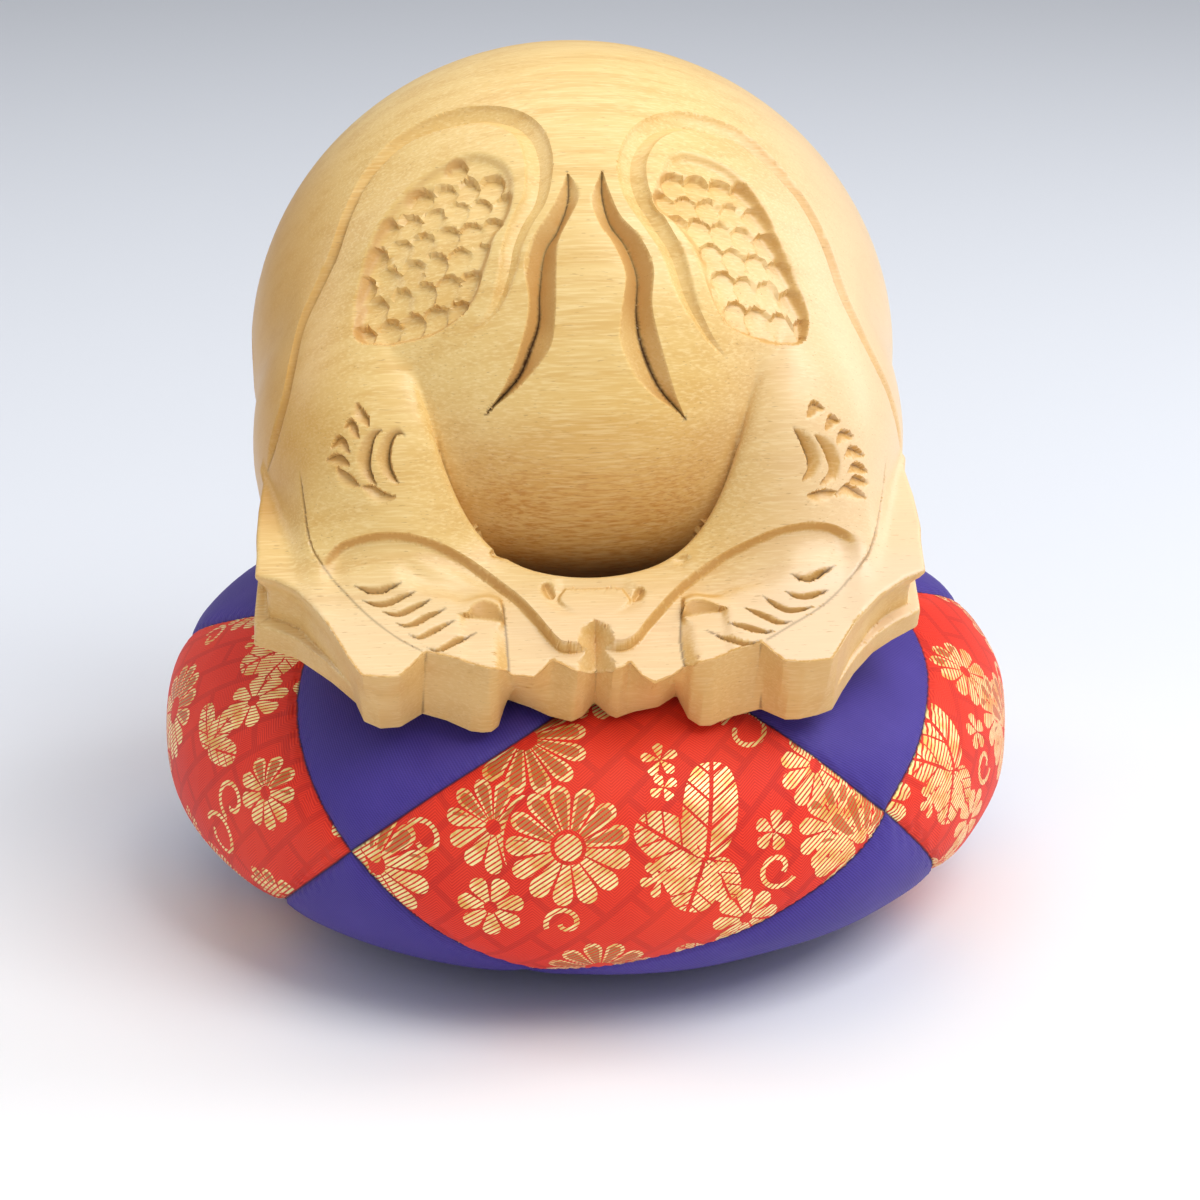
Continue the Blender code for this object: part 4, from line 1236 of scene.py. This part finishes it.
for _ in range(4):
    known = len(pad_points)
    pad_points, pad_faces = split_long(pad_points, pad_faces, seam_size(pad_points))
    if len(pad_points) == known:
        break
    pad_points[known:] = on_pad(*pad_angles(pad_points[known:]))

# the stuffing's push and the cloth's stiffness, in the cloth simulation's own units
STUFFING = {"vertex_group_mass": "sewn", "use_pressure": True, "uniform_pressure_force": 14.0,
            "mass": 0.003, "tension_stiffness": 8.0, "compression_stiffness": 8.0}
STUFFING_FRAMES, SWELL_MOST = 20, 1.1
SEWN_WIDE, BASE_HIGH = 2.2, 0.6               # what the simulation holds still


def stuffed(points):
    """How far the stuffing swells the cloth between its seams, from a cloth simulation."""
    bpy.ops.object.select_all(action="DESELECT")
    bpy.ops.mesh.primitive_uv_sphere_add(segments=80, ring_count=34, radius=1.0)
    cloth = bpy.context.object
    start = plump(triangles_of(cloth)[0])
    faces = in_order([list(face.vertices) for face in cloth.data.polygons])
    sides = sorted({tuple(sorted(side)) for face in faces for side in zip(face, face[1:] + face[:1])})
    cloth.data.clear_geometry()
    cloth.data.from_pydata((start * MM).tolist(), sides, faces)
    held = cloth.vertex_groups.new(name="sewn")
    for number in np.flatnonzero((nearest_seam(start) < SEWN_WIDE) | (start[:, 2] < BASE_HIGH)):
        held.add([int(number)], 1.0, "REPLACE")
    swell = cloth.modifiers.new("stuffing", "CLOTH")
    for name, value in STUFFING.items():
        setattr(swell.settings, name, value)
    swell.settings.effector_weights.gravity = 0.0
    for moment in range(1, STUFFING_FRAMES + 1):
        bpy.context.scene.frame_set(moment)
    bpy.ops.object.modifier_apply(modifier="stuffing")
    bpy.context.scene.frame_set(1)
    moved = triangles_of(cloth)[0] / MM - start
    bpy.data.objects.remove(cloth, do_unlink=True)
    size = np.linalg.norm(moved, axis=1, keepdims=True)
    moved *= np.minimum(1.0, SWELL_MOST / np.maximum(size, 1e-6))
    tree = tree_of(start)
    swollen = np.zeros_like(points)
    for number, point in enumerate(points):
        near = tree.find_n(point, 4)
        weight = np.array([1.0 / (gap + 0.3) ** 2 for _, _, gap in near])
        swollen[number] = (moved[[index for _, index, _ in near]] * weight[:, None]).sum(0) / weight.sum()
    return swollen


brocade, ridge = seam_gaps(pad_points)
around, level = pad_angles(pad_points)
girth, sewn = girth_at(pad_points), nearest_seam(pad_points)
outward = np.column_stack([np.sin(around) * np.cos(level), -np.cos(around) * np.cos(level),
                           np.sin(level)])
face_middle = pad_points[pad_faces].mean(axis=1)
pad_points = pad_points + stuffed(pad_points)
# the seams pull the cloth in, with small puckers beside them, and it lies a little unevenly
pinch = 0.55 * np.exp(-(sewn / 0.45) ** 2) + 0.55 * np.exp(-(sewn / 2.6) ** 2)
pucker = 0.10 * np.sin(around * 210.0 + level * 40.0) * np.exp(-((sewn - 1.2) / 1.2) ** 2)
creep = 0.16 * np.sin(around * 9.0 + level * 5.0) * np.sin(level * 7.0 + around * 2.0)
pad_points = pad_points - outward * (pinch + pucker + creep)[:, None]


def beside_drum(points):
    """Press the cloth down where the drum lies on it."""
    for _ in range(6):
        here, slope, _ = slope_of(in_drum_frame((points - np.array(DRUM_AT)) @ tilt))
        push = np.clip(CLEAR - here, 0.0, 3.0)[:, None] * slope
        points = points + in_drum_frame(push) @ tilt.T
    return points


NEAR_DRUM = 75.0
close = np.linalg.norm(pad_points - np.array(DRUM_AT), axis=1) < NEAR_DRUM
pad_points[close] = beside_drum(pad_points[close])
pad_points[:, 2] = np.maximum(pad_points[:, 2], 0.0)
cushion = piece_from("cushion_cloth", pad_points, pad_faces)
bpy.ops.object.shade_smooth()

# each diamond of brocade was cut from another place in the weave, so the flowers fall differently
CUT_FROM = [(0.0, 0.0), (33.0, -1.5), (-25.0, 14.0), (12.0, -9.0), (4.0, 24.0)]
CLOTH_UNIT = 100.0                  # mm of cloth across the whole of a UV map
corner_of = np.empty(len(cushion.data.loops), int)
cushion.data.loops.foreach_get("vertex_index", corner_of)
height_up = np.interp(level, LEVELS, RISE)
face_around = np.repeat(np.arctan2(face_middle[:, 0], -face_middle[:, 1]), 3)
for name, first in (("brocade_cloth", 0.0), ("purple_cloth", HALF_PANEL)):
    which = np.round((face_around - FRONT_PANEL - first) / PANEL_TURN)
    turn = around[corner_of] - FRONT_PANEL - first - which * PANEL_TURN
    turn = np.remainder(turn + math.pi, 2.0 * math.pi) - math.pi
    cut = np.array(CUT_FROM)[which.astype(int) % PANELS]
    sheet = np.column_stack([turn * girth[corner_of] + cut[:, 0], height_up[corner_of] + cut[:, 1]])
    layer = cushion.data.uv_layers.new(name=name)
    layer.data.foreach_set("uv", (sheet / CLOTH_UNIT).ravel())
for name, values in (("brocade_edge", brocade), ("purple_seam", ridge)):
    cushion.data.attributes.new(name, "FLOAT", "POINT").data.foreach_set("value", values)

# the weave's flowers: place in mm, size, petals, bare middle, turn, how full, and the height
# above the middle from which its petals get painted shade, with 0 for none
BEHIND_MAIN = (-17.4, 8.8)
FLOWERS = [
    ((-7.9, 6.6), 8.0, 13.0, 2.3, 0.0, 0.84, 0.6), (BEHIND_MAIN, 6.2, 11.0, 1.0, 0.3, 0.84, 1.0),
    ((-18.0, -2.1), 4.4, 7.0, 0.9, 0.2, 0.80, 0.0), ((-13.0, 21.4), 8.4, 13.0, 2.0, 0.15, 0.84, -9.0),
    ((-34.0, 1.6), 8.0, 12.0, 1.6, 0.0, 0.84, 2.0), ((26.2, 13.6), 5.6, 10.0, 1.0, 0.1, 0.84, 3.0),
    ((28.6, 5.2), 6.0, 11.0, 1.0, 0.4, 0.84, 3.0), ((15.4, -5.2), 4.6, 8.0, 0.9, 0.4, 0.80, 0.0),
    ((-3.5, -14.5), 7.0, 12.0, 1.9, 0.1, 0.84, 0.5), ((27.0, -15.5), 5.2, 9.0, 1.0, 0.2, 0.82, 1.0),
    ((19.0, 6.6), 2.7, 5.0, 0.3, 0.45, 0.72, 0.0), ((4.4, 17.8), 2.5, 5.0, 0.2, 0.2, 0.60, 0.0),
    ((4.6, 13.9), 1.9, 4.0, 0.2, 0.2, 0.60, 0.0), ((3.8, 2.2), 2.7, 6.0, 0.2, 0.3, 0.62, 0.0),
    ((-25.0, -14.0), 4.8, 8.0, 0.8, 0.2, 0.80, 0.0)]
# leaves: where they spring from, their lean in degrees, length and half width
LEAVES = [
    ((9.9, 4.4), 84.0, 12.4, 3.7), ((9.0, 4.4), 146.0, 9.6, 3.1), ((9.6, 4.2), 252.0, 7.4, 3.3),
    ((10.8, 4.0), 292.0, 6.4, 2.3), ((8.8, 3.6), 186.0, 6.2, 1.9),
    ((12.0, -14.0), 70.0, 8.0, 2.2), ((12.0, -14.0), 140.0, 7.0, 2.0), ((12.0, -14.0), 10.0, 7.0, 2.0)]
# tendrils: their middle, radius, and where they open, in radians
CURLS = [
    ((19.6, 1.4), 1.9, 2.6), ((16.6, 20.6), 2.6, -0.4), ((-26.8, 6.2), 2.0, 0.6),
    ((-8.4, -4.0), 1.6, 0.4), ((19.8, -19.0), 2.2, 1.2), ((-14.0, -19.0), 2.0, 2.4)]
CURL_HALF = 0.36
REPEAT = (67.0, 46.0)               # the weave's pattern comes round again, across and up
GOLD_PITCH, RIB_PITCH, TWILL_PITCH, WEFT_PITCH = 0.55, 0.42, 0.34, 0.30
DIAGONAL = math.sqrt(0.5)


def patchwork():
    """Red brocade with flowers in floating gold thread, and plain purple twill, seam to seam."""
    cloth = Finish("patchwork_brocade")
    edge = cloth.node("ShaderNodeAttribute", {"attribute_name": "brocade_edge"}, out="Fac")
    purple_edge = cloth.node("ShaderNodeAttribute", {"attribute_name": "purple_seam"}, out="Fac")

    def woven(name):
        """A place on the cloth, in mm across and up."""
        return (axis * CLOTH_UNIT for axis in cloth.axes(cloth.node("ShaderNodeUVMap", {"uv_map": name})))

    def ribs(where, pitch):
        """0 along the middle of every thread and 1 between them."""
        return abs((where * (1.0 / pitch)).part() - 0.5) * 2.0

    def flat(x, y):
        return cloth.node("ShaderNodeCombineXYZ", None, {0: x, 1: y})

    across, up = woven("brocade_cloth")

    def from_centre(at):
        return [value.sum_of("WRAP", value - middle, span / 2.0, -span / 2.0)
                for value, middle, span in zip((across, up), at, REPEAT)]

    def polar(at):
        """Height above a motif's middle, distance from it, and angle round it."""
        x, y = from_centre(at)
        return y, (x * x + y * y).sum_of("SQRT", x * x + y * y), y.sum_of("ARCTAN2", y, x)

    def flower(at, size, petals, eye, turn, full, inner):
        """Round-ended petals round a bare middle: where the gold is, and where it gets painted shade."""
        y, out, angle = polar(at)
        wedge = abs((angle * (petals / (2.0 * math.pi)) + turn).part() - 0.5) * (2.0 / full)
        along = (out - eye) / (size - eye)
        tail = (along - 0.66).most(0.0) / 0.34
        reach = wedge * wedge + tail * tail
        petal = (reach < 1.0) * (along > 0.0)
        if not inner:
            return petal, petal * 0.0, out
        return petal, petal * (reach < 0.42) * (along < 0.86) * (y > inner), out

    def leaf(at, lean, length, width):
        """A pointed oval leaf with a bare rib, growing from a point at an angle."""
        x, y = from_centre(at)
        c, s = math.cos(math.radians(lean)), math.sin(math.radians(lean))
        run, off = (x * c + y * s) / length, (y * c - x * s) / width
        edge = (run * (1.0 - run) * 4.0).most(0.0)
        veins = ((run * 3.6 - abs(off) * 0.9).part() > 0.13) * (abs(off) > 0.08)
        return (abs(off) < edge ** 0.36) * (run > 0.0) * (run < 1.0) * veins

    def curl(at, radius, opening):
        """A tendril: a ring of thread winding outwards from its opening."""
        _, out, angle = polar(at)
        turn = (angle - opening).sum_of("WRAP", angle - opening, math.pi, -math.pi)
        return abs(out - radius - turn * 0.30) < CURL_HALF

    near_main = None
    gold = shade = None
    for at, size, petals, eye, turn, full, inner in FLOWERS:
        petal, painted_shade_petal, out = flower(at, size, petals, eye, turn, full, inner)
        if near_main is None:
            near_main = out
        elif at == BEHIND_MAIN:
            petal, painted_shade_petal = petal * (near_main > 8.3), painted_shade_petal * (near_main > 8.3)
        gold, shade = (petal, painted_shade_petal) if gold is None else (gold.most(petal), shade.most(painted_shade_petal))
    for motif in [leaf(*shape) for shape in LEAVES] + [curl(*shape) for shape in CURLS]:
        gold = gold.most(motif)
    gold = gold.most(near_main < 1.75)

    # the gold thread floats over the ground in slanting strokes
    stroke = ribs(up * 0.80 - across * 0.60, GOLD_PITCH) < 0.62
    red_side = edge > 0.0
    thread = gold * stroke * red_side

    chevron = across.sum_of("PINGPONG", across, 2.1)
    rib = ribs(up + chevron * 0.9, RIB_PITCH)
    fret = cloth.node("ShaderNodeTexBrick", {"offset": 0.5, "squash": 1.0}, {
        "Vector": flat((across + up) * DIAGONAL, (up - across) * DIAGONAL), "Scale": 1.0,
        "Mortar Size": 0.55, "Mortar Smooth": 0.25, "Brick Width": 9.0, "Row Height": 4.6}, out="Fac")
    wander = cloth.noise(cloth.node("ShaderNodeTexCoord", out="Object"), 60.0, 3.0)
    red = cloth.blend(rib * 0.8, (0.62, 0.010, 0.006), (0.98, 0.060, 0.020))
    red = cloth.blend(fret * 0.32, red, (0.40, 0.006, 0.006))
    red = cloth.blend(wander.between(0.35, 0.7) * 0.25, red, (0.98, 0.085, 0.030))

    purple_across, purple_up = woven("purple_cloth")
    twill = ribs((purple_up + purple_across) * DIAGONAL, TWILL_PITCH)
    weft = ribs(purple_up, WEFT_PITCH)
    purple = cloth.blend(twill * 0.6 + weft * 0.2, (0.036, 0.020, 0.185), (0.085, 0.052, 0.365))
    purple = cloth.blend(wander.between(0.4, 0.75) * 0.3, purple, (0.12, 0.08, 0.44))

    # painted reflection: the gold is painted brighter and darker in broad random patches
    shine = cloth.noise(flat(across * 0.35, up * 0.35), 1.0)
    gilt = cloth.blend(shine.between(0.30, 0.60), (0.82, 0.52, 0.12), (1.0, 0.85, 0.38))
    # painted shade: the upper petals of some flowers are painted brown, as dark reflections in the gold
    # thread
    gilt = cloth.blend(shade * 0.85, gilt, (0.46, 0.15, 0.025))
    colour = cloth.blend(red_side, purple, red)
    colour = cloth.blend(thread, colour, gilt)
    seam = 1.0 - abs(edge).least(abs(purple_edge)).between(0.04, 0.28)
    colour = cloth.blend(seam * 0.75, colour, (0.012, 0.004, 0.020))
    relief = thread * 0.8 + (1.0 - thread) * (red_side * rib * 0.35 + (1.0 - red_side) * twill * 0.3)
    cloth.surface(Base_Color=colour, Metallic=thread * 0.25, Roughness=0.60 - thread * 0.24,
                  Specular_IOR_Level=0.3, Sheen_Weight=0.03, Sheen_Roughness=0.4,
                  Normal=cloth.bump(relief, 0.00010, 0.7))
    return cloth.material


cushion.data.materials.append(patchwork())
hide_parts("cushion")
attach(cushion, "root")

# ---------------------------------------------------------------------------------------------
# The stand-in room: a pale floor with painted shade that darkens it a little towards the back, a large soft
# light on the right and dimmer ones round it, and the camera looking down a little from the front.
# ---------------------------------------------------------------------------------------------
bpy.ops.mesh.primitive_plane_add(size=8.0, location=(0.0, 2.0, 0.0))
floor = bpy.context.object
floor.name = "floor"
pale = Finish("pale_floor")
# painted shade: the floor is painted darker and bluer towards the back
depth_in = pale.axes(pale.node("ShaderNodeTexCoord", out="Object"))[1].between(-2.12, -1.90)
pale.surface(Base_Color=pale.blend(depth_in, (0.93, 0.93, 0.93), (0.75, 0.775, 0.83)), Roughness=0.7)
floor.data.materials.append(pale.material)

world = bpy.data.worlds.new("soft_room")
world.use_nodes = True
backdrop = world.node_tree.nodes["Background"]
backdrop.inputs["Color"].default_value = (0.94, 0.96, 1.0, 1.0)
backdrop.inputs["Strength"].default_value = 0.36
bpy.context.scene.world = world

# each soft box's place, the height on the drum's axis that it is aimed at, its size and power
SOFT_BOXES = {
    "key": ((0.42, -0.42, 0.85), 0.07, (0.55, 0.55), 6.1),
    "overhead": ((0.0, 0.22, 0.85), 0.06, (0.8, 0.8), 2.4),
    "left_strip": ((-0.62, 0.16, 0.45), 0.08, (0.18, 0.6), 0.8),
    "right_strip": ((0.62, 0.10, 0.42), 0.08, (0.22, 0.7), 1.6),
    "front_fill": ((-0.15, -0.9, 0.6), 0.05, (0.9, 0.6), 0.8)}
for name, (at, aim, size, power) in SOFT_BOXES.items():
    light = bpy.data.lights.new(name, "AREA")
    light.shape = "RECTANGLE"
    light.size, light.size_y = size
    light.energy = power
    lamp = bpy.data.objects.new(name, light)
    bpy.context.scene.collection.objects.link(lamp)
    lamp.location = at
    lamp.rotation_euler = (Vector((0.0, 0.0, aim)) - Vector(at)).to_track_quat("-Z", "Y").to_euler()

CAMERA_AT, CAMERA_DOWN, CAMERA_TURN = (-0.02345, -0.3959, 0.1893), 20.5, -3.69
view = bpy.data.cameras.new("camera")
view.lens = 88.0
view.sensor_width = 36.0
camera = bpy.data.objects.new("camera", view)
bpy.context.scene.collection.objects.link(camera)
camera.location = CAMERA_AT
camera.rotation_euler = (math.radians(90.0 - CAMERA_DOWN), 0.0, math.radians(CAMERA_TURN))
bpy.context.scene.camera = camera
bpy.context.scene.view_settings.view_transform = "Standard"
